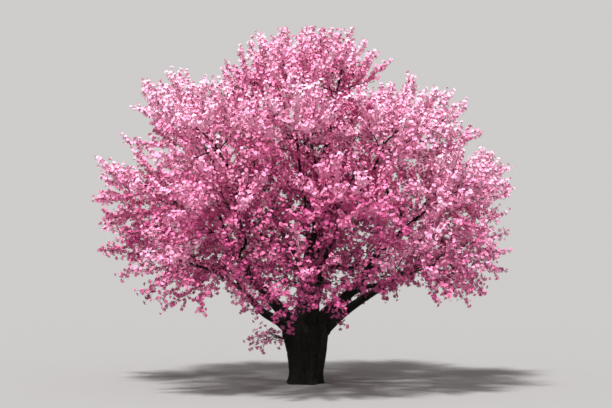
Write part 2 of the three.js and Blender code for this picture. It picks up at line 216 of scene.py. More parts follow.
# %% The trunk's line and radius
FORK_HEIGHT = 1.5
WAIST_RADIUS = 0.3
FORK_SWELL = 0.19  # how much wider it grows under the boughs
SWELL_START, SWELL_RUN = 0.02, 0.72  # from where on, and over how much of its height
FOOT_SWELL, FLARE_FALL = 0.095, 7  # how wide the root flare is, and how fast it dies out
TRUNK_LEAN = np.array([-0.04, 0.06, 0])
TRUNK_BEND = 0.055  # to the right, half way up
TRUNK_CROWN = 0.74  # above this share of its height it closes among the boughs
CLOSING, CLOSING_POWER = 0.45, 1.7


def trunk_point(share):
    bend = TRUNK_BEND * math.sin(math.pi * share)
    return np.array([bend, 0, FORK_HEIGHT * share]) + TRUNK_LEAN * share


def trunk_radius(share):
    fork = FORK_SWELL * min(max((share - SWELL_START) / SWELL_RUN, 0), 1)
    closed = max(0, share - TRUNK_CROWN) / (1 - TRUNK_CROWN)
    closing = 1 - CLOSING * closed**CLOSING_POWER
    return (WAIST_RADIUS + FOOT_SWELL * math.exp(-share * FLARE_FALL) + fork) * closing


print("trunk radius at the foot, waist and fork:", [round(trunk_radius(s), 3) for s in (0, 0.35, 0.84)])

# %% [markdown]
# ## The crown's masses
# From a distance a cherry's crown falls into rounded masses, one at the end of each bough. They
# could be set by hand, but five rings of them say the same in a few numbers: a ring round the
# widest part, one for the shoulder, one for the top, three masses inside, and a skirt that hangs
# round the lower edge. Each mass keeps to its side of a plane between it and each neighbour.

# %% Tiers of masses
TIERS = [
    dict(
        name="middle", count=7, bearing=180, reach=3.26, shift=0.12,
        height=4.06, rise=0, across=1.5, tall=1.2, lift=0.3,
    ),
    dict(
        name="crest", count=4, bearing=172, reach=0.8, shift=-0.02,
        height=6.56, rise=-0.04, across=1.2, tall=1.06, lift=0.8,
    ),
    dict(
        name="upper", count=7, bearing=13, reach=2.56, shift=-0.1,
        height=5.44, rise=-0.06, across=1.4, tall=1.2, lift=0.6,
    ),
    dict(
        name="inner", count=3, bearing=270, reach=1.15, shift=0,
        height=4.4, rise=0, across=1.3, tall=1.25, lift=0.4,
    ),
    dict(
        name="skirt", count=7, bearing=270, reach=3.22, shift=0.13,
        height=2.7, rise=0.16, across=1.48, tall=1.12, lift=-0.1,
    ),
]
SPROUT = dict(bearing=190, reach=0.86, height=1.0, across=0.43, tall=0.4, lift=-0.3, twigs=3)
LAYOUT_SEED = 11
FIRST_MASS_SEED = 100
TWIGS = 6
SPACE_GAP = 0.012  # kept clear between two masses, and round a bough
SWING = 7  # by how many degrees a mass may stand off its place in the ring
REACH_VARIES, HEIGHT_VARIES, SIZE_VARIES = 0.04, 0.12, 0.07


@dataclass(eq=False)
class Mass:
    name: str
    tier: str
    heart: np.ndarray
    across: float
    tall: float
    lift: float
    twigs: int
    seed: int = 0


def round_the_trunk(bearing, reach, height):
    return np.array([math.cos(bearing) * reach, math.sin(bearing) * reach, height])


def lay_out_masses():
    random = random_stream(LAYOUT_SEED)
    masses = []
    for tier in TIERS:
        for i in range(tier["count"]):
            swing = either(random, SWING) if tier["count"] > 2 else 0
            bearing = math.radians(tier["bearing"] + 360 * i / tier["count"] + swing)
            reach = tier["reach"] * (1 + either(random, REACH_VARIES))
            height = tier["height"] + tier["rise"] * math.cos(2 * bearing)
            height += either(random, HEIGHT_VARIES)
            size = 1 + either(random, SIZE_VARIES)
            heart = round_the_trunk(bearing, reach, height) + np.array([tier["shift"], 0, 0])
            across, tall = tier["across"] * size, tier["tall"] * size
            name = f"{tier['name']}_{i + 1}"
            masses.append(Mass(name, tier["name"], heart, across, tall, tier["lift"], TWIGS))
    s = SPROUT
    heart = round_the_trunk(math.radians(s["bearing"]), s["reach"], s["height"])
    masses.append(Mass("sprout", "sprout", heart, s["across"], s["tall"], s["lift"], s["twigs"]))
    for i, mass in enumerate(masses):
        mass.seed = FIRST_MASS_SEED + i
    return masses


masses = lay_out_masses()
print("masses:", len(masses))


# %% The space of each mass
def walls_of(mass):
    """The planes between a mass and its neighbours: which way each faces, and how far off it is."""
    facing, limits = [], []
    for other in masses:
        if other is not mass:
            apart = np.linalg.norm(other.heart - mass.heart)
            facing.append((other.heart - mass.heart) / apart)
            limits.append(apart * mass.across / (mass.across + other.across) - SPACE_GAP / 2)
    return np.array(facing), np.array(limits)


walls = {mass.name: walls_of(mass) for mass in masses}


def in_space(mass, point, inset):
    off = point - mass.heart
    across = math.hypot(off[0], off[1]) / (mass.across - inset)
    tall = off[2] / (mass.tall - inset)
    facing, limits = walls[mass.name]
    return across * across + tall * tall <= 1 and bool(np.all(facing @ off <= limits))


print("hearts that lie in their own space:", sum(in_space(m, m.heart, 0) for m in masses))

# %% [markdown]
# ## The boughs
# Seven boughs leave the trunk low down, in one bundle. Every other bough grows from the place on the
# limbs so far from which it takes least wood and least turning to reach its mass, which is close
# to what a tree does. A bough is thicker the more masses it feeds, and thinner than its parent.

# %% How the boughs grow
FROM_TRUNK = ["skirt_7", "skirt_3", "middle_1", "middle_4", "middle_6", "middle_3", "crest_3"]
LOWEST_FORK = 0.8  # where the lowest bough leaves the trunk's middle line
FORK_STEP = 0.055  # each next bough leaves this much higher
LONE_BOUGH_RADIUS = 0.094  # at the base of a bough that carries one mass
BOUGH_TIP_RADIUS = 0.032
NARROWING = 0.8  # below 1, so that a bough narrows fastest near its base
BOUGH_STEPS = 6
WANDER = 0.028  # how far a bough wanders off its curve, as a share of its length
TURNING_COST, PATH_COST = 0.9, 0.35  # of a bough that has to turn, and of wood back to the trunk
TOWARDS_UP, TOWARDS_PARENT = 0.12, 0.4  # how far a bough sets off up, or along its parent
LEAVING_PULL, ARRIVING_PULL = 0.36, 0.3  # how far it keeps its first and its last direction
REACHED_FROM = 0.5  # from how high a mass is reached, as a share of its own height
ENTRY = 0.6  # how far out from a mass's heart its bough ends, as a share of the way to its edge
MOST_OF_PARENT = 0.74  # the most that a bough's radius may be of its parent's there
LEAST_OF_TIP = 1.3  # the least that it may be of its own tip's


@dataclass(eq=False)
class Limb:
    mass: Mass
    points: list = None
    length: float = 0.0
    before: float = 0.0
    parent: object = None
    parent_ring: int = 0
    load: int = 1
    radius: float = 0.0
    taken: set = field(default_factory=set)


def entry_of(mass):
    source = np.array([0, 0, max(FORK_HEIGHT, mass.heart[2] * REACHED_FROM)])
    inward = way_to(mass.heart, source)
    steep = abs(inward[2])
    return mass.heart + inward * ENTRY * (mass.across * (1 - steep) + mass.tall * steep)


def best_start(limbs, goal):
    best = None
    for limb in limbs:
        directions = directions_at(limb.points)
        for ring in range(1, BOUGH_STEPS):
            if ring in limb.taken:
                continue
            turning = 1 - way_to(limb.points[ring], goal).dot(directions[ring])
            path = limb.before + limb.length * ring / BOUGH_STEPS
            reach = np.linalg.norm(goal - limb.points[ring])
            cost = reach * (1 + TURNING_COST * turning) + PATH_COST * path
            if best is None or cost < best[0]:
                best = (cost, limb, ring, path, directions[ring])
    return best[1:]


def limb_radius(limb, ring):
    return limb.radius + (BOUGH_TIP_RADIUS - limb.radius) * (ring / BOUGH_STEPS) ** NARROWING


# %% Growing the boughs
def grow_bough(mass, limbs, random):
    end = entry_of(mass)
    limb = Limb(mass)
    if mass.name in FROM_TRUNK:
        place = FROM_TRUNK.index(mass.name)
        start = trunk_point((LOWEST_FORK + FORK_STEP * place) / FORK_HEIGHT)
        leaving = unit(blend(way_to(start, end), UP, TOWARDS_UP))
    else:
        limb.parent, limb.parent_ring, limb.before, direction = best_start(limbs, end)
        limb.parent.taken.add(limb.parent_ring)
        start = limb.parent.points[limb.parent_ring]
        leaving = unit(blend(way_to(start, end), direction, TOWARDS_PARENT))
    limb.length = np.linalg.norm(end - start)
    arriving = unit(blend(way_to(end, mass.heart), UP, TOWARDS_UP))
    first = start + leaving * LEAVING_PULL * limb.length
    last = end - arriving * ARRIVING_PULL * limb.length
    limb.points = curve_points([start, first, last, end], BOUGH_STEPS)
    for ring in range(2, BOUGH_STEPS - 1):
        limb.points[ring] = limb.points[ring] + any_way(random) * WANDER * limb.length
    return limb


def grow_boughs():
    random = random_stream(LAYOUT_SEED + 1)
    carried = [mass for mass in masses if mass.name != "sprout"]
    limbs = []
    for mass in sorted(carried, key=lambda mass: mass.name not in FROM_TRUNK):
        limbs.append(grow_bough(mass, limbs, random))
    for limb in limbs:
        parent = limb.parent
        while parent:
            parent.load += 1
            parent = parent.parent
    for limb in limbs:
        limb.radius = LONE_BOUGH_RADIUS * math.sqrt(limb.load)
        if limb.parent:
            most = MOST_OF_PARENT * limb_radius(limb.parent, limb.parent_ring)
            limb.radius = min(limb.radius, max(most, LEAST_OF_TIP * BOUGH_TIP_RADIUS))
    return limbs


limbs = grow_boughs()
print("boughs:", len(limbs), "thickest radius:", round(max(limb.radius for limb in limbs), 3))

# %% [markdown]
# ## Keeping off the boughs
# Twigs and sprays mustn't run through a bough. Each bough is sampled along its line once, and then
# any straight stretch can be tested against all of the samples together.

# %% The test against the boughs
STRETCH_PARTS = 6
sample_places, sample_radii, sample_owner = [], [], []
for number, limb in enumerate(limbs):
    for i in range(BOUGH_STEPS * STRETCH_PARTS):
        ring = i // STRETCH_PARTS
        part = (i % STRETCH_PARTS) / STRETCH_PARTS
        sample_places.append(blend(limb.points[ring], limb.points[ring + 1], part))
        sample_radii.append(limb_radius(limb, ring))
        sample_owner.append(number)
sample_places, sample_radii = np.array(sample_places), np.array(sample_radii)
sample_owner = np.array(sample_owner)


def distances_to_stretch(places, a, b):
    along = b - a
    share = np.clip((places - a) @ along / along.dot(along), 0, 1)
    return np.linalg.norm(places - a - share[:, None] * along, axis=1)


def clear_of_limbs(a, b, radius, skipped=None):
    room = distances_to_stretch(sample_places, a, b) - sample_radii - radius
    if skipped is not None:
        room = room[sample_owner != skipped]
    return bool(np.all(room >= SPACE_GAP))


print("places sampled on the boughs:", len(sample_places))

# %% [markdown]
# ## Stems, twigs and sprays
# Inside a mass the bough goes on as a stem, with six twigs that reach for the parts of the mass
# furthest from one another. On the stem and on each twig sit sprays, the longest that fit without
# crowding. The solids show each spray as one blade. Here a spray is only the room for finer twigs.

# %% Stems and twigs
TWIG_RADIUS = 0.017
SPROUT_STEM_RADIUS = 0.022
SPROUT_START = 0.69  # how high the sprout leaves the trunk's middle line
SPROUT_TOWARDS_UP = 0.1
MEETING_GAP = 0.0003  # between two pieces of wood that meet
STEM_STEPS = 4
STEM_PLACES = 12  # places down a stem, at any of which one twig can leave it
STEM_BEND, STEM_TURN, STEM_REACH = 0.4, 0.15, 0.22  # how far on it bends, turns and ends
STEM_TRIES, STEM_ASTRAY = 30, 0.03  # how often a stem looks for a free way, and how far it strays
STEM_NARROWING, TWIG_NARROWING = 0.55, 0.28


@dataclass(eq=False)
class Shoot:
    points: list
    radius: float
    narrowing: float
    place: int = 0


def grow_stem(mass, random):
    number = next((i for i, limb in enumerate(limbs) if limb.mass is mass), None)
    if number is None:
        start = trunk_point(SPROUT_START / FORK_HEIGHT)
        setting_off = unit(blend(way_to(start, mass.heart), UP, SPROUT_TOWARDS_UP))
        entry, radius = start, SPROUT_STEM_RADIUS
    else:
        start = limbs[number].points[-1]
        setting_off = direction_on(limbs[number].points, 1)
        entry, radius = start + setting_off * MEETING_GAP, BOUGH_TIP_RADIUS
    outward = way_to(entry, mass.heart)
    bend = entry + setting_off * STEM_BEND * np.linalg.norm(mass.heart - entry)
    for tries in range(STEM_TRIES):
        astray = any_way(random) * STEM_ASTRAY * tries * mass.across
        turn = bend + setting_off * STEM_TURN * mass.across + astray * 0.5
        end = mass.heart + outward * STEM_REACH * mass.across + astray
        points = [entry, *curve_points([bend, turn, end], STEM_STEPS - 1)]
        skipped = [number] + [None] * (STEM_STEPS - 1)
        pairs = zip(points, points[1:], skipped)
        if all(clear_of_limbs(a, b, radius, skip) for a, b, skip in pairs):
            break
    return Shoot(points, radius, STEM_NARROWING)


# %% Twigs from the stem
MIDDLE_LEFT = 0.12  # the share of a mass's form, round its heart, that is left without twig ends
END_TRIES = 14
END_INSET, END_ROOM = 0.48, 0.25  # how far inside its form an end is looked for, and has to be
TOO_STRAIGHT = 0.9  # where a twig would lie along its stem
TWIG_TURNING, TWIG_LATE = 0.6, 0.04  # the costs of turning, and of leaving the stem late
TWIG_OF_STEM = 0.6  # the most that a twig's radius may be of its stem's there


def random_place(mass, random, inset):
    height = either(random, 1)
    turn = 2 * math.pi * random()
    far = (MIDDLE_LEFT + (1 - MIDDLE_LEFT) * random()) ** (1 / 3)
    flat = math.sqrt(1 - height * height) * far * (mass.across - inset)
    return mass.heart + round_the_trunk(turn, flat, height * far * (mass.tall - inset))


def twig_ends(mass, entry, random):
    ends = []
    for _ in range(mass.twigs):
        best = None
        for _ in range(END_TRIES):
            place = random_place(mass, random, END_INSET * mass.across)
            if in_space(mass, place, END_ROOM * mass.across):
                gap = min(np.linalg.norm(end - place) for end in [entry, *ends])
                if best is None or gap > best[0]:
                    best = (gap, place)
        if best:
            ends.append(best[1])
    return ends


def grow_twig(stem, end, taken):
    best = None
    for place in range(2, STEM_PLACES):
        share = place / STEM_PLACES
        start = place_on(stem.points, share)
        ahead = way_to(start, end).dot(direction_on(stem.points, share))
        if place in taken or ahead > TOO_STRAIGHT:
            continue
        turning = 1 + TWIG_TURNING - TWIG_TURNING * ahead
        cost = np.linalg.norm(end - start) * turning + TWIG_LATE * place
        if best is None or cost < best[0]:
            best = (cost, start, share, place)
    if best is None:
        return None
    _, start, share, place = best
    radius = min(TWIG_RADIUS, TWIG_OF_STEM * stem.radius * (1 - stem.narrowing * share))
    return Shoot([start, end], radius, TWIG_NARROWING, place)


# %% The room of a spray
CROWN_MIDDLE = np.array([0.05, 0, 3.0])  # sprays point away from here
SPRAYS_ON_SHOOT = [1, 0.78, 0.45]  # where sprays leave a shoot, as a share of its length
SPRAY_LENGTH = 1.25
SHORTEST_SPRAY, SPRAY_STEP = 0.42, 0.1  # as a share of that, where there is little room
SPRAY_WAIST, SPRAY_WIDTH, SPRAY_THICKNESS = 0.54, 0.48, 0.12  # as shares of a spray's own length
SPRAY_SAMPLES = np.array([0.34, 0.54, 0.74, 0.92])  # where down its length its room is tested
SPRAY_ROOM = 0.62  # the share of their half widths that two sprays keep to themselves
SPRAYS_APART = 0.025
SHOOT_ROOM = 0.8  # the share of its half width that a spray keeps clear of other shoots


@dataclass(eq=False)
class Spray:
    root: np.ndarray
    direction: np.ndarray
    flat: np.ndarray
    length: float
    own: Shoot

    def corners(self):
        wide = unit(np.cross(self.direction, self.flat))
        middle = self.root + self.direction * SPRAY_WAIST * self.length
        half = wide * SPRAY_WIDTH * self.length / 2
        keel = middle + self.flat * SPRAY_THICKNESS * self.length
        return [self.root + self.direction * self.length, keel, middle + half, middle - half]

    def middle_line(self):
        """Points down the middle, and the half width at each."""
        shares = SPRAY_SAMPLES
        before, after = shares / SPRAY_WAIST, (1 - shares) / (1 - SPRAY_WAIST)
        widths = np.where(shares < SPRAY_WAIST, before, after)
        places = self.root + shares[:, None] * self.length * self.direction
        return places, widths * SPRAY_WIDTH * self.length / 2


def stands_apart(spray, shoots, sprays):
    places, halves = spray.middle_line()
    for other in sprays:
        others, other_halves = other.middle_line()
        apart = np.linalg.norm(places[:, None] - others[None], axis=2)
        if np.any(apart <= SPRAY_ROOM * (halves[:, None] + other_halves[None]) + SPRAYS_APART):
            return False
    for shoot in shoots:
        if shoot is not spray.own:
            for a, b in zip(shoot.points, shoot.points[1:]):
                if np.any(distances_to_stretch(places, a, b) <= SHOOT_ROOM * halves + TWIG_RADIUS):
                    return False
    return True


# %% Fitting the sprays
EDGE_ROOM = 0.004  # between a spray and the edge of its mass's space
CORE_START, CORE_END, CORE_WIDTH = 0.3, 0.78, 0.385  # the part of a spray that no bough may enter
SPRAY_STEM_ROOM = 0.03


def fit_spray(mass, shoots, sprays, own, root, direction, flat, wanted):
    share = 1.0
    while share >= SHORTEST_SPRAY:
        spray = Spray(root, direction, flat, wanted * share, own)
        share -= SPRAY_STEP
        if not all(in_space(mass, corner, EDGE_ROOM) for corner in spray.corners()):
            continue
        if not stands_apart(spray, shoots, sprays):
            continue
        start = root + direction * CORE_START * spray.length
        end = root + direction * CORE_END * spray.length
        wide_room = clear_of_limbs(start, end, CORE_WIDTH * SPRAY_WIDTH * spray.length)
        if wide_room and clear_of_limbs(root, end, SPRAY_STEM_ROOM):
            return spray
    return None


# %% Growing the sprays
SPRAY_TRIES = 6
SPRAY_TILT, SPRAY_ROLL = 0.6, 1.1
# what a spray's direction is mixed from: the shoot's own, one aside, one outward and one up
AHEAD_AT_END, AHEAD_AT_SIDE = 1.2, 0.45
ASIDE_PER_TRY, ASIDE_AT_SIDE = 0.1, 0.9
OUTWARD, LIFTED = 0.3, 0.8
LEAST_AHEAD, MOST_AHEAD = 0.5, 0.86  # how straight on one has to go at the end, and may at the side
LENGTH_VARIES = 0.15


def grow_spray(mass, shoots, sprays, own, share, wanted, random):
    at_end = share == 1
    root, tangent = place_on(own.points, share), direction_on(own.points, share)
    tilt = either(random, SPRAY_TILT)
    roll = np.array([either(random, 1), either(random, 1), SPRAY_ROLL])
    best = None
    for tries in range(SPRAY_TRIES):
        turn = GOLDEN_ANGLE * (len(sprays) + tries)
        side = unit(np.cross([math.cos(turn), math.sin(turn), tilt], tangent))
        direction = unit(
            tangent * (AHEAD_AT_END if at_end else AHEAD_AT_SIDE)
            + side * (ASIDE_PER_TRY * tries if at_end else ASIDE_AT_SIDE)
            + way_to(mass.heart, root) * OUTWARD
            + way_to(CROWN_MIDDLE, root) * OUTWARD
            + UP * LIFTED * mass.lift
        )
        ahead = direction.dot(tangent)
        if (ahead < LEAST_AHEAD) if at_end else (ahead > MOST_AHEAD):
            continue
        flat = square_to(direction, roll)
        spray = fit_spray(mass, shoots, sprays, own, root, direction, flat, wanted)
        if spray and (best is None or spray.length > best.length):
            best = spray
    return best


def grow_mass(mass):
    random = random_stream(mass.seed)
    size = mass.across / TIERS[0]["across"]
    stem = grow_stem(mass, random)
    shoots, taken = [stem], set()
    for end in twig_ends(mass, stem.points[0], random):
        twig = grow_twig(stem, end, taken)
        if twig and in_space(mass, end, TWIG_RADIUS + EDGE_ROOM):
            if clear_of_limbs(twig.points[0], end, TWIG_RADIUS):
                taken.add(twig.place)
                shoots.append(twig)
    sprays = []
    for share in SPRAYS_ON_SHOOT:
        for shoot in shoots:
            wanted = SPRAY_LENGTH * size * (1 + either(random, LENGTH_VARIES))
            spray = grow_spray(mass, shoots, sprays, shoot, share, wanted, random)
            if spray:
                sprays.append(spray)
    return shoots, sprays


grown = {mass.name: grow_mass(mass) for mass in masses}
spray_count = sum(len(sprays) for _, sprays in grown.values())
print("twigs:", sum(len(shoots) - 1 for shoots, _ in grown.values()), "sprays:", spray_count)
misses = []
for mass in masses:
    reach = np.array([corner for spray in grown[mass.name][1] for corner in spray.corners()])
    low, high = (np.array(corner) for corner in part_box(f"blossom_{mass.name}"))
    misses.append(max(np.max(low - reach.min(0)), np.max(reach.max(0) - high)))
print("furthest that a spray here passes its solid's box, mm:", round(1000 * max(misses), 2))

# %% [markdown]
# ## The wood of trunk and boughs
# On the real tree a bough swells out of the trunk with no seam. Tubes that only pass through one
# another would show a hard crease at each fork, and joining them face by face by hand is long
# work. So each limb is drawn out of a circle, ring by ring, along its line. All of them are then
# remeshed as one skin of small squares, and a little smoothing fills the forks.

# %% Limbs drawn out ring by ring
def smooth_line(points, parts):
    """More points between the given ones, on a curve that passes through each of them."""
    p = np.array(points)
    p = np.vstack([2 * p[0] - p[1], p, 2 * p[-1] - p[-2]])
    line = []
    for a, b, c, d in zip(p, p[1:], p[2:], p[3:]):
        for t in np.arange(parts) / parts:
            bend = (2 * a - 5 * b + 4 * c - d) * t * t + (3 * b - a - 3 * c + d) * t**3
            line.append((2 * b + (c - a) * t + bend) / 2)
    return [*line, p[-2]]


@dataclass(eq=False)
class Wood:
    """A limb as it is drawn: its line, its radii, and a frame across it at each point."""

    points: list
    radii: list
    frames: list = None

    def __post_init__(self):
        aside = np.array([1.0, 0, 0])
        self.frames = []
        for direction in directions_at(self.points):
            aside = square_to(direction, aside)
            self.frames.append((aside, np.cross(direction, aside), direction))


TRUNK_COLLAR, FORK_COLLAR = 0.5, 0.3
COLLAR_RUN = 2.2  # how far a collar runs up its limb, in radii
PARTS_OF_STEP = 8
BELOW_GROUND = 0.04  # where the trunk's tube starts, as a share of its height
TRUNK_RINGS = 46
TRUNK_SIDES, BOUGH_SIDES = 40, 16


def wood_of(limb):
    points = smooth_line(limb.points, PARTS_OF_STEP)
    run = np.linalg.norm(np.diff(points, axis=0), axis=1).cumsum()
    run = np.array([0, *run])
    share = np.linspace(0, 1, len(points))
    radii = limb.radius + (BOUGH_TIP_RADIUS - limb.radius) * share**NARROWING
    swell = TRUNK_COLLAR if limb.parent is None else FORK_COLLAR
    return Wood(points, radii * (1 + swell * np.exp(-run / (COLLAR_RUN * limb.radius))))


trunk_shares = np.linspace(-BELOW_GROUND, 1, TRUNK_RINGS)
trunk_radii = [trunk_radius(max(share, 0)) for share in trunk_shares]
trunk_wood = Wood([trunk_point(share) for share in trunk_shares], trunk_radii)
woods = [wood_of(limb) for limb in limbs]


def add_limb(mesh, wood, sides):
    placed, rim = None, None
    for point, radius, (aside, across, direction) in zip(wood.points, wood.radii, wood.frames):
        turn = Matrix((aside, across, direction)).transposed().to_4x4()
        place = Matrix.Translation(point) @ turn @ Matrix.Scale(radius, 4)
        if rim is None:
            circle = bmesh.ops.create_circle(
                mesh, segments=sides, radius=1, matrix=place, cap_ends=True
            )
            rim = list({edge for vert in circle["verts"] for edge in vert.link_edges})
        else:
            drawn = bmesh.ops.extrude_edge_only(mesh, edges=rim)["geom"]
            verts = {part for part in drawn if isinstance(part, bmesh.types.BMVert)}
            bmesh.ops.transform(mesh, verts=list(verts), matrix=place @ placed.inverted())
            edges = [part for part in drawn if isinstance(part, bmesh.types.BMEdge)]
            rim = [edge for edge in edges if set(edge.verts) <= verts]
        placed = place
    bmesh.ops.contextual_create(mesh, geom=rim)


def new_object(name, mesh):
    obj = bpy.data.objects.new(name, mesh)
    bpy.context.scene.collection.objects.link(obj)
    return obj


bark = new_object("bark", bpy.data.meshes.new("bark"))
tubes_of_wood = bmesh.new()
add_limb(tubes_of_wood, trunk_wood, TRUNK_SIDES)
for wood in woods:
    add_limb(tubes_of_wood, wood, BOUGH_SIDES)
bmesh.ops.recalc_face_normals(tubes_of_wood, faces=tubes_of_wood.faces)
tubes_of_wood.to_mesh(bark.data)
tubes_of_wood.free()
print("faces in the bare tubes:", len(bark.data.polygons))


# %% One skin over trunk and boughs
SKIN_SQUARE = 0.0125
SOFT_ROUNDS, FORK_ROUNDS = 5, 24
FORK_TOP, FORK_FADE = 0.7, 0.6  # how far above the fork the softer skin ends, and over what height


def settle(obj):
    """Works an object's modifiers into its mesh."""
    shown = obj.evaluated_get(bpy.context.evaluated_depsgraph_get())
    mesh = bpy.data.meshes.new_from_object(shown)
    obj.modifiers.clear()
    obj.data = mesh


def soften(obj, name, rounds, group=""):
    softened = obj.modifiers.new(name, "SMOOTH")
    softened.factor = 0.5
    softened.iterations = rounds
    softened.vertex_group = group


skin = bark.modifiers.new("one skin", "REMESH")
skin.mode = "VOXEL"
skin.voxel_size = SKIN_SQUARE
soften(bark, "soft skin", SOFT_ROUNDS)
settle(bark)

near_fork = bark.vertex_groups.new(name="near the fork")
for vert in bark.data.vertices:
    nearness = (FORK_HEIGHT + FORK_TOP - vert.co.z) / FORK_FADE
    near_fork.add([vert.index], min(max(nearness, 0), 1), "REPLACE")
soften(bark, "soft forks", FORK_ROUNDS, near_fork.name)
settle(bark)
print("squares in the skin:", len(bark.data.polygons))

# %% [markdown]
# ## Bark in relief
# Old cherry bark breaks into plates with long furrows between them, and under it the trunk is
# fluted below each bough and flares into the roots. A bump in the material would show this only
# from the front, and the trunk's edge would stay smooth. So the skin itself is pushed in and out.
# The pattern is measured along and round the limb that each point belongs to, so that furrows run
# up every bough whatever way it leans.

# %% Where each point lies on its limb
FURROW_STRETCH = 6
GRAIN_SHIFT = 3.7  # gives each limb a grain of its own
ON_TRUNK, TRUNK_TOP = 0.05, 0.93  # how far off the trunk's skin, and how high, a place is still its


def limb_samples(wood, number):
    run = np.array([0, *np.linalg.norm(np.diff(wood.points, axis=0), axis=1).cumsum()])
    frames = np.array(wood.frames)
    numbers = np.full(len(run), number)
    return np.array(wood.points), np.array(wood.radii), frames, run, numbers


parts = [limb_samples(wood, i) for i, wood in enumerate([trunk_wood, *woods])]
line_places, line_radii, line_frames, line_run, line_number = (np.concatenate(p) for p in zip(*parts))
trunk_samples = len(trunk_wood.points)
nearest = kdtree.KDTree(len(line_places))
for i in range(trunk_samples, len(line_places)):
    nearest.insert(line_places[i], i)
nearest.balance()


def grain_places(places):
    """For each place: the sample it belongs to, and where it lies across, across and along."""
    on_trunk = np.searchsorted(line_places[:trunk_samples, 2], places[:, 2])
    on_trunk = np.clip(on_trunk, 0, trunk_samples - 1)
    off_line = places - line_places[on_trunk]
    depth = np.hypot(off_line[:, 0], off_line[:, 1]) - line_radii[on_trunk]
    owner = on_trunk.copy()
    for i in np.nonzero((depth > ON_TRUNK) | (places[:, 2] > TRUNK_TOP * FORK_HEIGHT))[0]:
        owner[i] = nearest.find(places[i])[1]
    off = places - line_places[owner]
    local = np.einsum("nij,nj->ni", line_frames[owner], off)
    local[:, 2] = (local[:, 2] + line_run[owner]) / FURROW_STRETCH + GRAIN_SHIFT * line_number[owner]
    return owner, local


# %% Furrows, flutes and flare
FURROW_DEPTH = 0.016
BROAD_SCALE, BROAD_WIDTH = 17, 0.24
FINE_SCALE, FINE_WIDTH, FINE_DEPTH = 41, 0.2, 0.4
LUMP_HEIGHT, LUMP_SCALE = 0.016, 5
ROOTS, ROOT_DEPTH, ROOT_TURN = 5, 0.55, 0.6
FLUTES, FLUTE_DEPTH, FLUTE_TURN = 6, 0.05, 1.2
FLUTE_AT_FOOT = 0.3  # against 1.3 at the fork
FULL_RELIEF = 0.32  # the radius of wood from which on the relief is as deep as that
LEAST_RELIEF = 0.12  # the share of it on the thinnest wood


def furrow(place):
    """From 0 on a plate of bark to 1 in the middle of a furrow."""
    broad = abs(noise.noise(place * BROAD_SCALE)) / BROAD_WIDTH
    fine = abs(noise.noise(place * FINE_SCALE)) / FINE_WIDTH
    return max(0, 1 - broad) + FINE_DEPTH * max(0, 1 - fine)


def trunk_form(place, share, radius):
    """Flutes and root flare, which the drawn tube leaves out."""
    turn = -math.atan2(place[1], place[0])
    flare = FOOT_SWELL * math.exp(-max(share, 0) * FLARE_FALL) * ROOT_DEPTH
    flutes = radius * FLUTE_DEPTH * (FLUTE_AT_FOOT + share)
    return flare * math.cos(ROOTS * turn + ROOT_TURN) + flutes * math.cos(FLUTES * turn + FLUTE_TURN)


def push_relief(obj):
    count = len(obj.data.vertices)
    places, normals = np.empty(count * 3), np.empty(count * 3)
    obj.data.vertices.foreach_get("co", places)
    obj.data.vertices.foreach_get("normal", normals)
    places, normals = places.reshape(-1, 3), normals.reshape(-1, 3)
    owner, local = grain_places(places)
    size = np.clip(line_radii[owner] / FULL_RELIEF, LEAST_RELIEF, 1)
    push = np.empty(count)
    for i in range(count):
        at = Vector(local[i])
        push[i] = LUMP_HEIGHT * noise.noise(at * LUMP_SCALE) - FURROW_DEPTH * furrow(at)
        push[i] *= size[i]
        if owner[i] < trunk_samples:
            push[i] += trunk_form(local[i], trunk_shares[owner[i]], line_radii[owner[i]])
    obj.data.vertices.foreach_set("co", (places + normals * push[:, None]).ravel())
    return push


push = push_relief(bark)
print("relief, mm, from", round(1000 * push.min()), "to", round(1000 * push.max()))

# %% [markdown]
# ## Fewer faces where the bark is plain
# The skin has one size of square everywhere, more than the flat stretches need. Decimate joins
# faces where little bends and keeps them in the furrows, until the piece is light enough. Then one
# flat cut at the ground gives the trunk the same foot as the solid's.

# %% Thinning, and the cut at the ground
BARK_TRIANGLES = 190_000
squares = len(bark.data.polygons)
thinned = bark.modifiers.new("fewer faces", "DECIMATE")
thinned.ratio = min(1, BARK_TRIANGLES / (2 * squares))
settle(bark)

cut = bmesh.new()
cut.from_mesh(bark.data)
whole = [*cut.verts, *cut.edges, *cut.faces]
ground = dict(plane_co=(0, 0, 0), plane_no=(0, 0, 1))
bmesh.ops.bisect_plane(cut, geom=whole, dist=1e-5, clear_inner=True, **ground)
rim = [edge for edge in cut.edges if edge.is_boundary]
bmesh.ops.holes_fill(cut, edges=rim, sides=0)
bmesh.ops.triangulate(cut, faces=cut.faces)
cut.to_mesh(bark.data)
cut.free()
bark.data.shade_smooth()

final_places = np.empty(len(bark.data.vertices) * 3)
bark.data.vertices.foreach_get("co", final_places)
grain = bark.data.attributes.new("grain", "FLOAT_VECTOR", "POINT")
grain.data.foreach_set("vector", grain_places(final_places.reshape(-1, 3))[1].ravel())
print("triangles of bark:", len(bark.data.polygons))
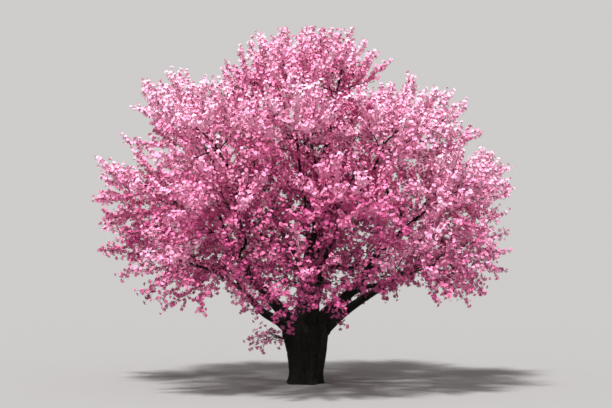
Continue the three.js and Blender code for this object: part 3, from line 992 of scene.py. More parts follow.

# %% [markdown]
# ## Finer twigs
# A spray of cherry blossom is last year's shoot with short side shoots all the way along, each
# bending forward to the light. One branch system could be modelled once and copied, but copies
# show when a crown is seen from all sides. So each spray grows its own side twigs, by one rule and
# seeded chance: they go round it by the golden angle, they are shorter towards its tip, and they
# stay inside the solids' box. Stems and twigs carry some side twigs too.

# %% One fine twig
chance = np.random.default_rng(2024)
ROOM = 0.06  # between a twig's tip and the box of the solids
ODD_WAY = np.array([0.31, 0.17, 0.94])  # a direction that hardly any twig runs along
ASTRAY = 0.02
SPREAD_AT_FOOT, SPREAD_FALL = 58, 24  # by how many degrees side twigs spread, and how many fewer at the tip
SIDE_LIFT, SIDE_OUTWARD = 0.35, 0.2
BOW, BOW_UP = 0.22, 0.5
SHORTER_TRIES, SHORTER = 4, 0.8  # how often a twig that leaves the box is tried, each time shorter


@dataclass(eq=False)
class FineTwig:
    line: np.ndarray
    thick: float
    thin: float
    tint: int
    fullness: float
    bare: float


def bowed_line(start, direction, length, bow, parts):
    """A line that sets off one way and bows towards another, with some wander."""
    shares = np.linspace(0, 1, parts + 1)[:, None]
    astray = chance.normal(0, ASTRAY * length, (parts + 1, 3)) * np.minimum(shares, 1 - shares) * 2
    return start + direction * length * shares + bow * length * shares**2 + astray


def in_box(place):
    return bool(np.all(place > solid_low + ROOM) and np.all(place < solid_high - ROOM))


def side_twig(line, share, turn, length, lift):
    start, tangent = place_on(line, share), direction_on(line, share)
    aside = square_to(tangent, ODD_WAY)
    side = aside * math.cos(turn) + np.cross(tangent, aside) * math.sin(turn)
    spread = math.radians(SPREAD_AT_FOOT - SPREAD_FALL * share)
    direction = tangent * math.cos(spread) + side * math.sin(spread)
    outward = way_to(CROWN_MIDDLE, start)
    direction = unit(direction + UP * SIDE_LIFT * lift + outward * SIDE_OUTWARD)
    bow = (tangent + UP * BOW_UP - direction) * BOW
    for tries in range(SHORTER_TRIES):
        twig = bowed_line(start, direction, length * SHORTER**tries, bow, 3)
        if in_box(twig[-1]):
            return twig
    return None


# %% Tints by place: painted light and shade
TINTS = 6
SPROUT_TINT = 3
CROWN_REACH = np.array([4.6, 4.5, 4.6])
CROWN_FOOT, CROWN_TALL = 1.6, 5.6
# painted light and shade: how much paler the flowers are high up, at the crown's rim, on a mass's top and
# at its skin, where the light falls, than low down, inside and underneath, where shade falls; and how much
# paler by luck
PAINTED_LIGHT_HIGH, PAINTED_LIGHT_OUTSIDE = 0.22, 0.24
PAINTED_LIGHT_ON_TOP, PAINTED_LIGHT_AT_SKIN = 0.42, 0.16
PALER_BY_LUCK = 0.24
DEEPEST = 0.17  # the score up to which the deepest tint is given
# painted light and shade, mass by mass: how much deeper than the rest the flowers of some masses are: those
# over the trunk and inside, which stand in shade, and those on top
PAINTED_SHADE_BY_MASS = {"skirt_1": 0.24, "middle_3": 0.12, "middle_2": 0.06}
PAINTED_SHADE_BY_MASS |= {f"inner_{i}": 0.1 for i in (1, 2, 3)}
PAINTED_SHADE_BY_MASS |= {f"crest_{i}": 0.05 for i in (1, 2, 3, 4)}
# and, below zero, painted light: the palest ones, on the right and at the upper left, where the light falls
PAINTED_SHADE_BY_MASS |= {"upper_1": -0.08, "upper_7": -0.12, "middle_4": -0.14}
PAINTED_SHADE_BY_MASS |= {"upper_4": -0.06, "upper_5": -0.1}


@dataclass
class Growth:
    """What the twigs of one spray, shoot or bough have in common."""

    mass: Mass
    luck: float  # 0 gives deeper flowers and 1 gives paler ones
    fullness: float  # how thick with flowers a twig is
    bare: float  # the share of a twig, from its foot, that has none


def outside_share(place):
    """From 0 in the crown's middle to 1 at its rim."""
    return min(float(np.linalg.norm((place - CROWN_MIDDLE) / CROWN_REACH)), 1)


def tint_of(place, growth):
    """Painted light and shade: paler high up, outside and on a mass's upper side, where the light falls,
    and deeper low down, inside and under it, where shade falls, with some luck.
    """
    mass = growth.mass
    if mass.name == "sprout":
        return SPROUT_TINT
    height = np.clip((place[2] - CROWN_FOOT) / CROWN_TALL, 0, 1)
    off = (place - mass.heart) / (mass.across, mass.across, mass.tall)
    on_top = np.clip(0.5 + 0.5 * off[2], 0, 1)
    at_skin = min(np.linalg.norm(off), 1) ** 2
    score = PAINTED_LIGHT_HIGH * height
    score += PAINTED_LIGHT_OUTSIDE * outside_share(place) ** 2
    score += PAINTED_LIGHT_ON_TOP * on_top
    score += PAINTED_LIGHT_AT_SKIN * at_skin
    score += PALER_BY_LUCK * growth.luck - PAINTED_SHADE_BY_MASS.get(mass.name, 0)
    return int(np.clip((score - DEEPEST) * TINTS, 0, TINTS - 1))


test_growth = Growth(masses[0], luck=0.5, fullness=1, bare=0)
for height in (2.0, 4.0, 6.0):
    row = [tint_of(np.array([x, 0, height]), test_growth) for x in (0, 1.5, 3, 4.5)]
    print(f"tints from the trunk to the rim, {height} m up:", row)

# %% Twigs on sprays, shoots and boughs
TWIG_SPACING, SHOOT_TWIG_SPACING, BOUGH_TWIG_SPACING = 0.1, 0.15, 0.11
SHOOT_TWIG, BOUGH_TWIG = 0.42, 0.62  # the length of a side twig there, in metres
SPRAY_RADII, SIDE_RADII = (0.0095, 0.003), (0.0052, 0.002)  # at a twig's foot and at its tip
FULLNESS = {"crest": 1.1, "upper": 1.1, "middle": 1.0, "inner": 0.6, "skirt": 0.68, "sprout": 0.4}
FULLNESS["skirt_1"] = 0.55
BARE_BELOW, BARE_ROUND_TRUNK = 1.85, 2.2  # no side twig grows below this height, this near the trunk
SPRAY_SIDE_TWIG = 0.42  # the length of a side twig on a spray, as a share of the spray's
TIP_SHARE = 0.985  # how far down its room a spray's own twig reaches
SHORTER_AT_TIP = 0.55
SHORTEST_TWIG, LONGEST_TWIG = 0.75, 1.2
SPRAY_BOW = 0.05
SHOOT_SWING = 0.02


def fine_twig(line, radii, growth):
    return FineTwig(line, *radii, tint_of(line[-1], growth), growth.fullness, growth.bare)


def is_bare(place, mass):
    low = place[2] < BARE_BELOW and math.hypot(place[0], place[1]) < BARE_ROUND_TRUNK
    return low and mass.name != "sprout"


def add_side_twigs(found, line, shares, longest, growth):
    turn = 2 * math.pi * chance.random()
    for share in shares:
        turn += GOLDEN_ANGLE
        length = longest * (1 - SHORTER_AT_TIP * share) * chance.uniform(SHORTEST_TWIG, LONGEST_TWIG)
        twig = side_twig(line, share, turn, length, growth.mass.lift)
        if twig is not None and not is_bare(twig[-1], growth.mass):
            found.append(fine_twig(twig, SIDE_RADII, growth))


def places_between(first, last, length, spacing):
    count = max(2, round((last - first) * length / spacing))
    return np.linspace(first, last, count) + chance.uniform(-0.3, 0.3, count) * (last - first) / count


def twigs_of_mass(mass):
    shoots, sprays = grown[mass.name]
    full = FULLNESS.get(mass.name, FULLNESS[mass.tier])
    shoot_lines, found = [], []
    for shoot in shoots:
        line = np.array(smooth_line(shoot.points, 3 if len(shoot.points) > 2 else 6))
        length = np.linalg.norm(np.diff(line, axis=0), axis=1).sum()
        swing = chance.normal(0, SHOOT_SWING * length, (len(line), 3))
        swing[[0, -1]] = 0
        line = line + swing * (0.5 if shoot is shoots[0] else 1)
        shoot_lines.append((line, shoot))
        growth = Growth(mass, chance.random(), fullness=0.85 * full, bare=0.12)
        shares = places_between(0.3, 0.95, length, SHOOT_TWIG_SPACING)
        add_side_twigs(found, line, shares, SHOOT_TWIG, growth)
    for spray in sprays:
        bow = square_to(spray.direction, chance.normal(0, 1, 3)) * SPRAY_BOW
        line = bowed_line(spray.root, spray.direction - bow, TIP_SHARE * spray.length, bow, 5)
        growth = Growth(mass, chance.random(), fullness=full, bare=0.06)
        found.append(fine_twig(line, SPRAY_RADII, growth))
        shares = places_between(0.1, 0.93, spray.length, TWIG_SPACING)
        add_side_twigs(found, line, shares, SPRAY_SIDE_TWIG * spray.length, growth)
    return shoot_lines, found


def twigs_on_bough(wood, mass):
    found = []
    line = np.array(wood.points)
    length = np.linalg.norm(np.diff(line, axis=0), axis=1).sum()
    shares = places_between(0.22, 0.97, length, BOUGH_TWIG_SPACING)
    # the low luck gives the twigs along the boughs, deep in the crown, deeper flowers: painted shade
    growth = Growth(mass, luck=0.1, fullness=0.8, bare=0.2)
    add_side_twigs(found, line, shares, BOUGH_TWIG, growth)
    return found


shoot_lines, fine_twigs, mass_of_twig = [], [], []
for number, mass in enumerate(masses):
    lines, found = twigs_of_mass(mass)
    if number < len(limbs):
        wood = next(wood for wood, limb in zip(woods, limbs) if limb.mass is mass)
        found += twigs_on_bough(wood, mass)
    shoot_lines += lines
    fine_twigs += found
    mass_of_twig += [number] * len(found)
print("twigs on sprays, shoots and boughs:", len(fine_twigs))

# %% [markdown]
# ## Shoots into the gaps
# A tree fills the gaps in its crown, since buds that get light grow out and those in the shade die.
# Twigs could be scattered there by hand, but it is simpler to look for the empty places: those with
# no wood near them. To each of them a shoot grows from the nearest wood, three times over, so that
# later shoots grow on from earlier ones. The crown's outer part keeps its hollows, because they
# set its masses apart, except between the two lowest rings of masses, which meet at the rim.

# %% Looking for empty places
GAP_ROUNDS = 3
GAP_TRIES = 5000
LEAST_GAP, MOST_GAP = 0.27, 1.1
APART = 0.34
INNER_SHARE, RINGS_SHARE = 0.75, 0.96  # how far out the gaps are filled, and how far where rings meet
LOWEST_FILL = 1.85
NEAR_TRUNK = 1.9
THINNING_NEAR, THINNING_FAR = 0.5, 1.5  # over what height the filling grows thinner downwards
RINGS_MEET, MEETING_WIDTH = 3.4, 0.4  # the height at which the two lowest rings meet, and how widely


def wood_samples():
    """Places along all the wood so far, in a tree that finds the nearest one fast."""
    twig_places = np.concatenate([twig.line for twig in fine_twigs])
    places = np.concatenate([line_places[trunk_samples:], twig_places])
    tree = kdtree.KDTree(len(places))
    for i, place in enumerate(places):
        tree.insert(place, i)
    tree.balance()
    return places, tree


def is_for_filling(place):
    between_rings = math.exp(-(((place[2] - RINGS_MEET) / MEETING_WIDTH) ** 2))
    limit = INNER_SHARE + (RINGS_SHARE - INNER_SHARE) * between_rings
    thinning = THINNING_NEAR if math.hypot(place[0], place[1]) < NEAR_TRUNK else THINNING_FAR
    fewer_low_down = np.clip((place[2] - LOWEST_FILL) / thinning, 0, 1)
    return in_box(place) and outside_share(place) < limit and chance.random() < fewer_low_down


def empty_places(tree):
    """Empty places in the masses' forms, each with the nearest wood and the mass that it is in."""
    found = []
    for _ in range(GAP_TRIES):
        number = int(chance.integers(len(limbs)))
        mass = masses[number]
        off = chance.normal(0, 1, 3)
        off *= chance.random() ** (1 / 3) / np.linalg.norm(off)
        place = mass.heart + off * (mass.across, mass.across, mass.tall)
        if not is_for_filling(place):
            continue
        _, near, gap = tree.find(place)
        others = [np.linalg.norm(place - other) for other, _, _ in found]
        if LEAST_GAP < gap < MOST_GAP and min(others, default=APART) >= APART:
            found.append((place, near, number))
    return found


# %% Growing into them
GAP_TWIG_SPACING, GAP_TWIG = 0.13, 0.34
GAP_RADII = (0.0085, 0.003)
PAST_THE_GAP = 1.2  # how far a shoot grows, as a share of the way to the empty place
GAP_BOW = 0.15
# the most luck of a shoot in a gap, kept low so that the flowers that fill the crown's hollows are deeper:
# painted shade
GAP_LUCK_FOR_PAINTED_SHADE = 0.3

for lap in range(GAP_ROUNDS):
    places, tree = wood_samples()
    gap_shoots, gap_owners = [], []
    for place, near, number in empty_places(tree):
        length = np.linalg.norm(place - places[near])
        way = (place - places[near]) / length
        line = bowed_line(places[near], way, length * PAST_THE_GAP, (UP - way) * GAP_BOW, 4)
        if not in_box(line[-1]):
            continue
        growth = Growth(masses[number], GAP_LUCK_FOR_PAINTED_SHADE * chance.random(), fullness=0.8, bare=0.12)
        before = len(gap_shoots)
        gap_shoots.append(fine_twig(line, GAP_RADII, growth))
        shares = places_between(0.25, 0.95, length, GAP_TWIG_SPACING)
        add_side_twigs(gap_shoots, line, shares, GAP_TWIG, growth)
        gap_owners += [number] * (len(gap_shoots) - before)
    fine_twigs += gap_shoots
    mass_of_twig += gap_owners
    print("lap", lap + 1, "twigs in the gaps:", len(gap_shoots))
mass_of_twig = np.array(mass_of_twig)
run_of_twig = [np.linalg.norm(np.diff(twig.line, axis=0), axis=1).sum() for twig in fine_twigs]
print("fine twigs:", len(fine_twigs), "metres in all:", round(sum(run_of_twig)))
print("twigs of each tint:", np.bincount([twig.tint for twig in fine_twigs], minlength=TINTS).tolist())

# %% [markdown]
# ## Thousands of twigs in one mesh
# Curves with a bevel would give round twigs, but thousands of objects are slow, and instances are
# lost when a model is exported. Here the same three-sided tube is worked out for every twig at
# once, as arrays, and all of them go into one mesh. From a step away a three-sided twig is round.

# %% Tubes from arrays
def tubes(lines, radii, sides):
    """Places and triangles of many closed tubes. Each line has the same number of points."""
    count, points = lines.shape[:2]
    ahead = np.gradient(lines, axis=1)
    ahead /= np.linalg.norm(ahead, axis=2, keepdims=True)
    aside = np.cross(ahead[:, 0], np.where(np.abs(ahead[:, :1, 2]) < 0.8, UP, [[1.0, 0, 0]]))
    turns = 2 * math.pi * np.arange(sides) / sides
    rings = []
    for k in range(points):
        aside = aside - ahead[:, k] * np.sum(aside * ahead[:, k], axis=1, keepdims=True)
        aside /= np.linalg.norm(aside, axis=1, keepdims=True)
        across = np.cross(ahead[:, k], aside)
        round_it = aside[:, None] * np.cos(turns)[:, None] + across[:, None] * np.sin(turns)[:, None]
        rings.append(lines[:, k, None] + round_it * radii[:, k, None, None])
    places = np.stack(rings, axis=1).reshape(-1, 3)
    triangles = []
    for k in range(points - 1):
        for j in range(sides):
            a, b = k * sides + j, k * sides + (j + 1) % sides
            triangles += [(a, b, b + sides), (a, b + sides, a + sides)]
    last = (points - 1) * sides
    for j in range(1, sides - 1):
        triangles += [(0, j + 1, j), (last, last + j, last + j + 1)]
    starts = np.arange(count) * points * sides
    return places, (np.array(triangles)[None] + starts[:, None, None]).reshape(-1, 3)


def mesh_from(name, places, triangles, slots=None):
    mesh = bpy.data.meshes.new(name)
    mesh.vertices.add(len(places))
    mesh.vertices.foreach_set("co", places.astype(np.float32).ravel())
    mesh.loops.add(triangles.size)
    mesh.loops.foreach_set("vertex_index", triangles.astype(np.int32).ravel())
    mesh.polygons.add(len(triangles))
    mesh.polygons.foreach_set("loop_start", np.arange(0, triangles.size, 3, dtype=np.int32))
    if slots is not None:
        mesh.polygons.foreach_set("material_index", slots.astype(np.int32))
    mesh.update(calc_edges=True)
    return mesh


def joined(parts):
    """Several lots of places and triangles as one."""
    starts = np.cumsum([0] + [len(places) for places, _ in parts[:-1]])
    places = np.concatenate([places for places, _ in parts])
    return places, np.concatenate([tri + start for (_, tri), start in zip(parts, starts)])


# %% The twigs' mesh
SHOOT_SIDES, TWIG_SIDES = 6, 3
INTO_BOUGH = 0.05  # how far a stem's foot is sunk into its bough

parts = []
for line, shoot in shoot_lines:
    shares = np.linspace(0, 1, len(line))
    if shoot.radius >= BOUGH_TIP_RADIUS:
        line = np.vstack([line[0] - INTO_BOUGH * way_to(line[0], line[1]), line[1:]])
    radii = shoot.radius * (1 - shoot.narrowing * shares)
    parts.append(tubes(line[None], radii[None], SHOOT_SIDES))
for points in sorted({len(twig.line) for twig in fine_twigs}):
    same = [twig for twig in fine_twigs if len(twig.line) == points]
    shares = np.linspace(0, 1, points)
    radii = np.array([twig.thick + (twig.thin - twig.thick) * shares for twig in same])
    parts.append(tubes(np.array([twig.line for twig in same]), radii, TWIG_SIDES))
twigs = new_object("twigs", mesh_from("twigs", *joined(parts)))
twigs.data.shade_smooth()
print("triangles of twigs:", len(twigs.data.polygons))

# %% [markdown]
# ## Where the flowers sit
# Cherry flowers stand in small clusters on short stalks, in every direction round the twig, and
# the last ones face the way the twig points. The number of flowers follows from the twigs' length.
# A real crown has several hundred thousand flowers of 35 mm. A mesh can't hold so many, so there
# are fewer here, and each is over twice as large.

# %% Places of the flowers
FLOWERS_PER_METRE = 32
CLUSTER = 3
CLUSTER_OFF, CLUSTER_SPREAD = 0.7, 0.03  # where in its stretch of twig one sits, and how loosely
TURN, TURN_SPREAD = 2.2, 0.35  # how far round the twig each flower stands from the last
FORWARD, FORWARD_AT_TIP = 0.35, 1.6  # how far they face the way that the twig points
NEAR_TIP, TIP_RUN = 0.8, 0.2  # from where on they turn to face it, and over how much of the twig
FACING_UP, FACING_SPREAD = 0.15, 0.22
STALKS, PETAL_LENGTHS = (0.02, 0.045), (0.039, 0.05)  # shortest and longest


def flowers_on(twig, run):
    count = max(2, round(run * FLOWERS_PER_METRE * twig.fullness))
    clusters = (np.arange(count) // CLUSTER + CLUSTER_OFF) * CLUSTER / count
    clusters = np.clip(clusters + chance.normal(0, CLUSTER_SPREAD, count), 0, 1)
    shares = twig.bare + (1 - twig.bare) * clusters
    at = shares * (len(twig.line) - 1)
    ring = np.minimum(at.astype(int), len(twig.line) - 2)
    before, after = twig.line[ring], twig.line[ring + 1]
    roots = before + (after - before) * (at - ring)[:, None]
    tangent = (after - before) / np.linalg.norm(after - before, axis=1, keepdims=True)
    aside = np.cross(tangent, ODD_WAY)
    aside /= np.linalg.norm(aside, axis=1, keepdims=True)
    turn = chance.uniform(0, 2 * math.pi) + np.arange(count) * TURN + chance.normal(0, TURN_SPREAD, count)
    out = aside * np.cos(turn)[:, None] + np.cross(tangent, aside) * np.sin(turn)[:, None]
    forward = FORWARD + FORWARD_AT_TIP * np.clip(shares - NEAR_TIP, 0, 1) / TIP_RUN
    facing = out + tangent * forward[:, None] + UP * FACING_UP
    facing = facing + chance.normal(0, FACING_SPREAD, (count, 3))
    return roots, facing / np.linalg.norm(facing, axis=1, keepdims=True)


roots, facings, tints, owners = [], [], [], []
for twig, run, number in zip(fine_twigs, run_of_twig, mass_of_twig):
    root, facing = flowers_on(twig, run)
    roots.append(root)
    facings.append(facing)
    tints.append(np.full(len(root), twig.tint))
    owners.append(np.full(len(root), number))
roots, facings = np.concatenate(roots), np.concatenate(facings)
tints, owners = np.concatenate(tints), np.concatenate(owners)
stalks = chance.uniform(*STALKS, len(roots))
sizes = chance.uniform(*PETAL_LENGTHS, len(roots))
centres = roots + facings * stalks[:, None]

inside_box = np.all(centres > solid_low + sizes[:, None], axis=1)
inside_box &= np.all(centres < solid_high - sizes[:, None], axis=1)
in_wood = np.zeros(len(centres), bool)
for i, centre in enumerate(centres):
    _, sample, gap = nearest.find(centre)
    in_wood[i] = gap < line_radii[sample]
kept = inside_box & ~in_wood
roots, facings, tints, owners = roots[kept], facings[kept], tints[kept], owners[kept]
sizes, centres = sizes[kept], centres[kept]
print("flowers:", len(centres), "left out:", int((~kept).sum()))

# %% [markdown]
# ## One flower
# A cherry flower has five petals round a deep rose cup on a stalk. A petal could be a smooth dished
# face of dozens of triangles, but there are tens of thousands of flowers. Two triangles folded
# along the middle already give a petal its own outline and catch light and shade, and three more
# for each flower make the cup and stalk that tie it to its twig.

# %% Flowers from arrays
PETALS = 5
PETAL_TURNS = 2 * math.pi * np.arange(PETALS) / PETALS
HALF_PETAL = math.radians(33)
# the turn, reach and rise of a petal's corners: one side, its tip and the other side
PETAL_CORNERS = [(-HALF_PETAL, 0.68, 0.62), (0, 1, 0.8), (HALF_PETAL, 0.68, 0.62)]
FLATTEST, STEEPEST = 0.12, 0.62  # how much a flower's petals rise round its middle
SHORTEST_PETAL, LONGEST_PETAL = 0.92, 1.06
CUP_SIDES, CUP_RADIUS = 3, 0.14


def across_frames(facing, spin):
    helper = np.where(np.abs(facing[:, 2:]) < 0.8, UP, [[1.0, 0, 0]])
    aside = np.cross(facing, helper)
    aside /= np.linalg.norm(aside, axis=1, keepdims=True)
    across = np.cross(facing, aside)
    cos, sin = np.cos(spin)[:, None], np.sin(spin)[:, None]
    return aside * cos + across * sin, across * cos - aside * sin


def flower_meshes(centre, root, facing, size):
    """Petals, then cups, of many flowers."""
    count = len(centre)
    aside, across = across_frames(facing, chance.uniform(0, 2 * math.pi, count))
    cup = chance.uniform(FLATTEST, STEEPEST, count)
    corners = [centre[:, None]]
    for off, far, rise in PETAL_CORNERS:
        unevenness = chance.uniform(SHORTEST_PETAL, LONGEST_PETAL, (count, PETALS))
        reach = far * size[:, None] * unevenness
        turn = PETAL_TURNS + off
        flat = aside[:, None] * np.cos(turn)[:, None] + across[:, None] * np.sin(turn)[:, None]
        high = facing[:, None] * (rise * cup * size)[:, None, None]
        corners.append(centre[:, None] + flat * reach[..., None] + high)
    places = np.concatenate(corners, axis=1)
    left, tip, right = (1 + PETALS * k + np.arange(PETALS) for k in range(3))
    middle = np.zeros(PETALS, int)
    petal = np.stack([middle, left, tip, middle, tip, right], axis=1)
    starts = np.arange(count) * places.shape[1]
    petals = petal.reshape(1, -1, 3) + starts[:, None, None]

    turn = 2 * math.pi * np.arange(CUP_SIDES) / CUP_SIDES
    flat = aside[:, None] * np.cos(turn)[:, None] + across[:, None] * np.sin(turn)[:, None]
    ring = centre[:, None] + flat * CUP_RADIUS * size[:, None, None]
    cups = np.concatenate([root[:, None], ring], axis=1)
    cup_sides = np.array([(0, 2, 1), (0, 3, 2), (0, 1, 3)])
    cup_faces = cup_sides[None] + (np.arange(count) * (1 + CUP_SIDES))[:, None, None]
    places, petals, cups, cup_faces = (part.reshape(-1, 3) for part in (places, petals, cups, cup_faces))
    return (places, petals), (cups, cup_faces)


# %% [markdown]
# ## Blossom, piece by piece
# One mesh of all the flowers would be too heavy for most programs. The masses are taken in turn
# and joined until a piece is full. The pink of each flower is a whole number, its tint, that was
# dealt out by spray, and each tint has its own material.

# %% The pieces of blossom
FLOWER_TRIANGLES = 2 * PETALS + CUP_SIDES
MOST_TRIANGLES = 192_000


def blossom_piece(name, numbers):
    chosen = np.isin(owners, numbers)
    petals, cups = flower_meshes(centres[chosen], roots[chosen], facings[chosen], sizes[chosen])
    slots = np.concatenate([np.repeat(tints[chosen], 2 * PETALS), np.full(len(cups[1]), TINTS)])
    return new_object(name, mesh_from(name, *joined([petals, cups]), slots))


groups, group, held = [], [], 0
for number in range(len(masses)):
    triangles = FLOWER_TRIANGLES * int((owners == number).sum())
    if held + triangles > MOST_TRIANGLES:
        groups.append(group)
        group, held = [], 0
    group.append(number)
    held += triangles
groups.append(group)
blossoms = [blossom_piece(f"blossom_{i + 1}", numbers) for i, numbers in enumerate(groups)]
print("pieces of blossom, triangles:", [len(piece.data.polygons) for piece in blossoms])

# %% [markdown]
# ## Effects shared by materials
# The bark of the trunk and of the twigs varies in the same way, and so do all six pinks of the
# petals. An effect that several materials use is built once, as a group of nodes with named inputs
# and outputs, and each material gives it its own colours and sizes.

# %% Helpers for node groups
def screen_colour(red, green, blue):
    """A colour as a paint program gives it, from 0 to 255, as the light that Blender counts with."""
    shares = np.array([red, green, blue]) / 255
    light = np.where(shares < 0.04045, shares / 12.92, ((shares + 0.055) / 1.055) ** 2.4)
    return (*light.tolist(), 1)


def new_group(name, inputs, outputs):
    group = bpy.data.node_groups.new(name, "ShaderNodeTree")
    for label, kind, value in inputs:
        socket = group.interface.new_socket(label, in_out="INPUT", socket_type=kind)
        if value is not None:
            socket.default_value = value
    for label, kind in outputs:
        group.interface.new_socket(label, in_out="OUTPUT", socket_type=kind)
    return group, group.nodes.new("NodeGroupInput"), group.nodes.new("NodeGroupOutput")


COLOUR, NUMBER, VECTOR = "NodeSocketColor", "NodeSocketFloat", "NodeSocketVector"


def add_noise(tree, place, scale, detail, rough=0.5):
    node = tree.nodes.new("ShaderNodeTexNoise")
    node.inputs["Detail"].default_value = detail
    node.inputs["Roughness"].default_value = rough
    node.inputs["Scale"].default_value = scale
    tree.links.new(place, node.inputs["Vector"])
    return node.outputs["Fac"]


def add_range(tree, value, low, high, to_low=0.0, to_high=1.0):
    node = tree.nodes.new("ShaderNodeMapRange")
    node.clamp = True
    bounds = {"From Min": low, "From Max": high, "To Min": to_low, "To Max": to_high}
    for label, number in bounds.items():
        node.inputs[label].default_value = number
    tree.links.new(value, node.inputs["Value"])
    return node.outputs["Result"]


def add_mix(tree, share, first, second):
    node = tree.nodes.new("ShaderNodeMix")
    node.data_type = "RGBA"
    tree.links.new(share, node.inputs["Factor"])
    tree.links.new(first, node.inputs["A"])
    tree.links.new(second, node.inputs["B"])
    return node.outputs["Result"]


def add_sum(tree, first, second, weight):
    node = tree.nodes.new("ShaderNodeMath")
    node.operation = "MULTIPLY_ADD"
    tree.links.new(second, node.inputs[0])
    node.inputs[1].default_value = weight
    tree.links.new(first, node.inputs[2])
    return node.outputs["Value"]


def add_bump(tree, height, distance):
    node = tree.nodes.new("ShaderNodeBump")
    node.inputs["Distance"].default_value = distance
    tree.links.new(height, node.inputs["Height"])
    return node.outputs["Normal"]


# %% [markdown]
# ## Bark
# Cherry bark is nearly black in the furrows and a warm grey-brown on the plates, with fine cracks,
# and on younger wood it has rows of pale corky dashes that run round the limb. The group reads the
# grain that was stored on the mesh, so all of this follows each limb. On twigs, which have no
# stored grain, it reads the place in the object instead.

# %% The bark's node group
bark_group, bark_in, bark_out = new_group(
    "bark finish",
    [("Place", VECTOR, None), ("Furrow", COLOUR, (0, 0, 0, 1)), ("Plate", COLOUR, (0.1, 0.1, 0.1, 1)),
     ("Dash", COLOUR, (0.2, 0.2, 0.2, 1)), ("Size", NUMBER, 1.0)],
    [("Colour", COLOUR), ("Roughness", NUMBER), ("Normal", VECTOR)],
)
SQUEEZED = 26  # how much the pattern of dashes is squeezed along the limb, so that they run round it

scaled = bark_group.nodes.new("ShaderNodeVectorMath")
scaled.operation = "SCALE"
bark_group.links.new(bark_in.outputs["Place"], scaled.inputs[0])
bark_group.links.new(bark_in.outputs["Size"], scaled.inputs["Scale"])
at = scaled.outputs["Vector"]
plates = add_noise(bark_group, at, scale=16, detail=6, rough=0.6)
cracks = add_noise(bark_group, at, scale=70, detail=5, rough=0.65)
squeezed = bark_group.nodes.new("ShaderNodeVectorMath")
squeezed.operation = "MULTIPLY"
squeezed.inputs[1].default_value = (1, 1, SQUEEZED)
bark_group.links.new(at, squeezed.inputs[0])
dashes = add_noise(bark_group, squeezed.outputs["Vector"], scale=20, detail=2)
on_plate = add_range(bark_group, plates, 0.4, 0.64)
two_tones = add_mix(bark_group, on_plate, bark_in.outputs["Furrow"], bark_in.outputs["Plate"])
on_dash = add_range(bark_group, dashes, 0.66, 0.74, 0, 0.6)
dashed = add_mix(bark_group, on_dash, two_tones, bark_in.outputs["Dash"])
bark_group.links.new(dashed, bark_out.inputs["Colour"])
roughness = add_range(bark_group, cracks, 0.3, 0.7, 0.78, 0.96)
bark_group.links.new(roughness, bark_out.inputs["Roughness"])
height = add_sum(bark_group, add_sum(bark_group, plates, cracks, 0.45), dashes, 0.25)
bark_group.links.new(add_bump(bark_group, height, distance=0.012), bark_out.inputs["Normal"])
print("nodes in the bark's group:", len(bark_group.nodes))


# %% Two kinds of bark
def new_material(name, roughness=0.7, specular=0.3):
    material = bpy.data.materials.new(name)
    material.use_nodes = True
    shader = material.node_tree.nodes["Principled BSDF"]
    shader.inputs["Roughness"].default_value = roughness
    shader.inputs["Specular IOR Level"].default_value = specular
    return material, material.node_tree, shader


def use_group(tree, shader, group, links, **values):
    node = tree.nodes.new("ShaderNodeGroup")
    node.node_tree = group
    for label, value in values.items():
        node.inputs[label].default_value = value
    for output, socket in links.items():
        tree.links.new(node.outputs[output], shader.inputs[socket])
    return node


LOOKS = {"Colour": "Base Color", "Roughness": "Roughness", "Normal": "Normal"}


def bark_material(name, place, furrow, plate, dash, size):
    material, tree, shader = new_material(name, specular=0.25)
    colours = dict(Furrow=screen_colour(*furrow), Plate=screen_colour(*plate), Dash=screen_colour(*dash))
    node = use_group(tree, shader, bark_group, LOOKS, **colours, Size=size)
    if place == "grain":
        source = tree.nodes.new("ShaderNodeAttribute")
        source.attribute_name = "grain"
        tree.links.new(source.outputs["Vector"], node.inputs["Place"])
    else:
        source = tree.nodes.new("ShaderNodeTexCoord")
        tree.links.new(source.outputs["Object"], node.inputs["Place"])
    return material


# the old bark's colours are the bark's own dark grey-brown made nearly black, partly as painted shade of
# the trunk under the crown
old_bark = bark_material("old bark", "grain", (9, 8, 7), (28, 24, 21), (47, 41, 36), 1.0)
twig_bark = bark_material("twig bark", "object", (26, 18, 18), (56, 40, 37), (92, 74, 68), 3.0)
bark.data.materials.append(old_bark)
twigs.data.materials.append(twig_bark)

# %% [markdown]
# ## Petals
# A petal is thin, soft and matt, deeper in colour at its foot and along its veins. Light goes
# through it and on to the next petal, which is why the hollows of a crown in flower glow deep rose
# and aren't grey. Opaque petals do much the same here, because light bounces from one to another
# and takes up more colour each time. Six pinks, dealt out by spray, give the crown its depth: they
# are the flowers' own range of pink, widened by painted light and shade, with the paler ones where
# the light falls and the deeper ones, down to dusky rose, where shade falls.

# %% The petals' node group
petal_group, petal_in, petal_out = new_group(
    "petal finish",
    [("Petal", COLOUR, (0.9, 0.5, 0.7, 1)), ("Vein", COLOUR, (0.7, 0.3, 0.5, 1))],
    [("Colour", COLOUR), ("Roughness", NUMBER), ("Normal", VECTOR)],
)
petal_place = petal_group.nodes.new("ShaderNodeTexCoord").outputs["Object"]
flush = add_noise(petal_group, petal_place, scale=42, detail=2)
veins = add_noise(petal_group, petal_place, scale=240, detail=3, rough=0.6)
share = add_range(petal_group, flush, 0.42, 0.72, 0, 0.42)
mixed = add_mix(petal_group, share, petal_in.outputs["Petal"], petal_in.outputs["Vein"])
petal_group.links.new(mixed, petal_out.inputs["Colour"])
roughness = add_range(petal_group, veins, 0.3, 0.7, 0.52, 0.72)
petal_group.links.new(roughness, petal_out.inputs["Roughness"])
petal_group.links.new(add_bump(petal_group, veins, distance=0.0012), petal_out.inputs["Normal"])

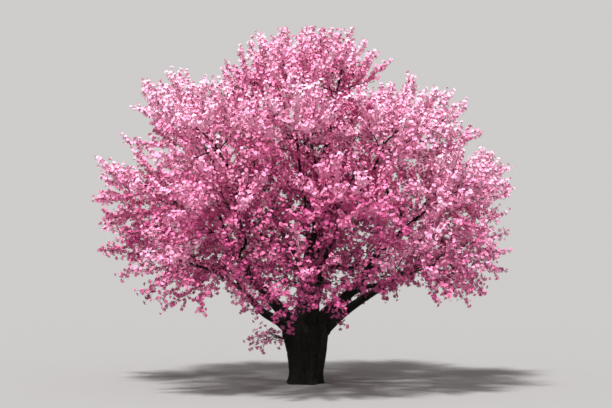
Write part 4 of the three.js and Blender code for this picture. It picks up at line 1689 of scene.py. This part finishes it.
# from the deepest to the palest: the deeper pinks are partly painted shade and the paler ones partly
# painted light, and the dusky rose stands for flowers deep in shade
PINKS = [
    ("dusky rose petals", (158, 50, 104), (122, 30, 74)),
    ("deep rose petals", (200, 78, 138), (168, 46, 100)),
    ("rose petals", (228, 122, 170), (200, 78, 130)),
    ("pink petals", (242, 156, 197), (222, 112, 160)),
    ("light pink petals", (248, 176, 209), (232, 134, 176)),
    ("pale pink petals", (252, 197, 223), (240, 154, 191)),
]


def petal_material(name, petal, vein):
    material, tree, shader = new_material(name)
    shader.inputs["Sheen Weight"].default_value = 0.15
    use_group(tree, shader, petal_group, LOOKS, Petal=screen_colour(*petal), Vein=screen_colour(*vein))
    return material


petal_materials = [petal_material(*pink) for pink in PINKS]
cup_material = petal_material("flower cups", (134, 46, 66), (104, 34, 44))
for piece in blossoms:
    for material in [*petal_materials, cup_material]:
        piece.data.materials.append(material)
print("pinks:", [material.name for material in petal_materials])

# %% [markdown]
# ## What stands for what
# Each piece is tied to the tree's one body. The bark stands for the trunk and the boughs, and the
# twigs and the blossom for the masses, whose solids aren't shown.

# %% Tying the pieces to the model
bough_nodes = [f"bough_{limb.mass.name}" for limb in limbs]
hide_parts("trunk", *bough_nodes)
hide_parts(*(f"blossom_{mass.name}" for mass in masses))
for piece, numbers in zip(blossoms, groups):
    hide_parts(*(f"blossom_{masses[number].name}" for number in numbers))
for piece, finish in [(bark, "bark"), (twigs, "bark"), *((piece, "blossom") for piece in blossoms)]:
    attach(piece, "root")
print("pieces:", 2 + len(blossoms))

# %% [markdown]
# ## Floor and light
# The tree stands on a plain pale floor under soft light. A backdrop wall would be in the way when
# the tree is seen from the side, so the floor simply runs far out, and its colour is set so that
# in full light it is as bright as the sky above it. A broad soft sun from the upper left gives the
# masses their light and shaded sides.

# %% Floor and light
FLOOR_RADIUS = 1200

floor_mesh = bmesh.new()
bmesh.ops.create_circle(floor_mesh, segments=96, radius=FLOOR_RADIUS, cap_ends=True)
floor = new_object("floor", bpy.data.meshes.new("floor"))
floor_mesh.to_mesh(floor.data)
floor_mesh.free()
floor_material, _, floor_shader = new_material("pale floor", roughness=0.9, specular=0.0)
floor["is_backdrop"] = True

SKY_COLOUR = np.array([1.0, 0.985, 0.97])
SKY_LIGHT = 0.62
SUN_LIGHT = 5.9
sun_height = math.radians(70)
sun_turn = math.radians(-32)
sun_breadth = math.radians(9)

world = bpy.data.worlds.new("pale sky")
bpy.context.scene.world = world
world.use_nodes = True
background = world.node_tree.nodes["Background"]
background.inputs["Color"].default_value = (*SKY_COLOUR, 1)
background.inputs["Strength"].default_value = SKY_LIGHT

sun = bpy.data.objects.new("sun", bpy.data.lights.new("sun", "SUN"))
bpy.context.scene.collection.objects.link(sun)
sun.data.energy = SUN_LIGHT
sun.data.angle = sun_breadth
sun.rotation_euler = (math.pi / 2 - sun_height, 0, sun_turn)

floor_share = SKY_LIGHT / (SKY_LIGHT + SUN_LIGHT * math.sin(sun_height) / math.pi)
floor_shader.inputs["Base Color"].default_value = (*(floor_share * SKY_COLOUR), 1)
floor.data.materials.append(floor_material)
bpy.context.scene.view_settings.view_transform = "Standard"
print("share of light that the floor sends back:", round(floor_share, 2))
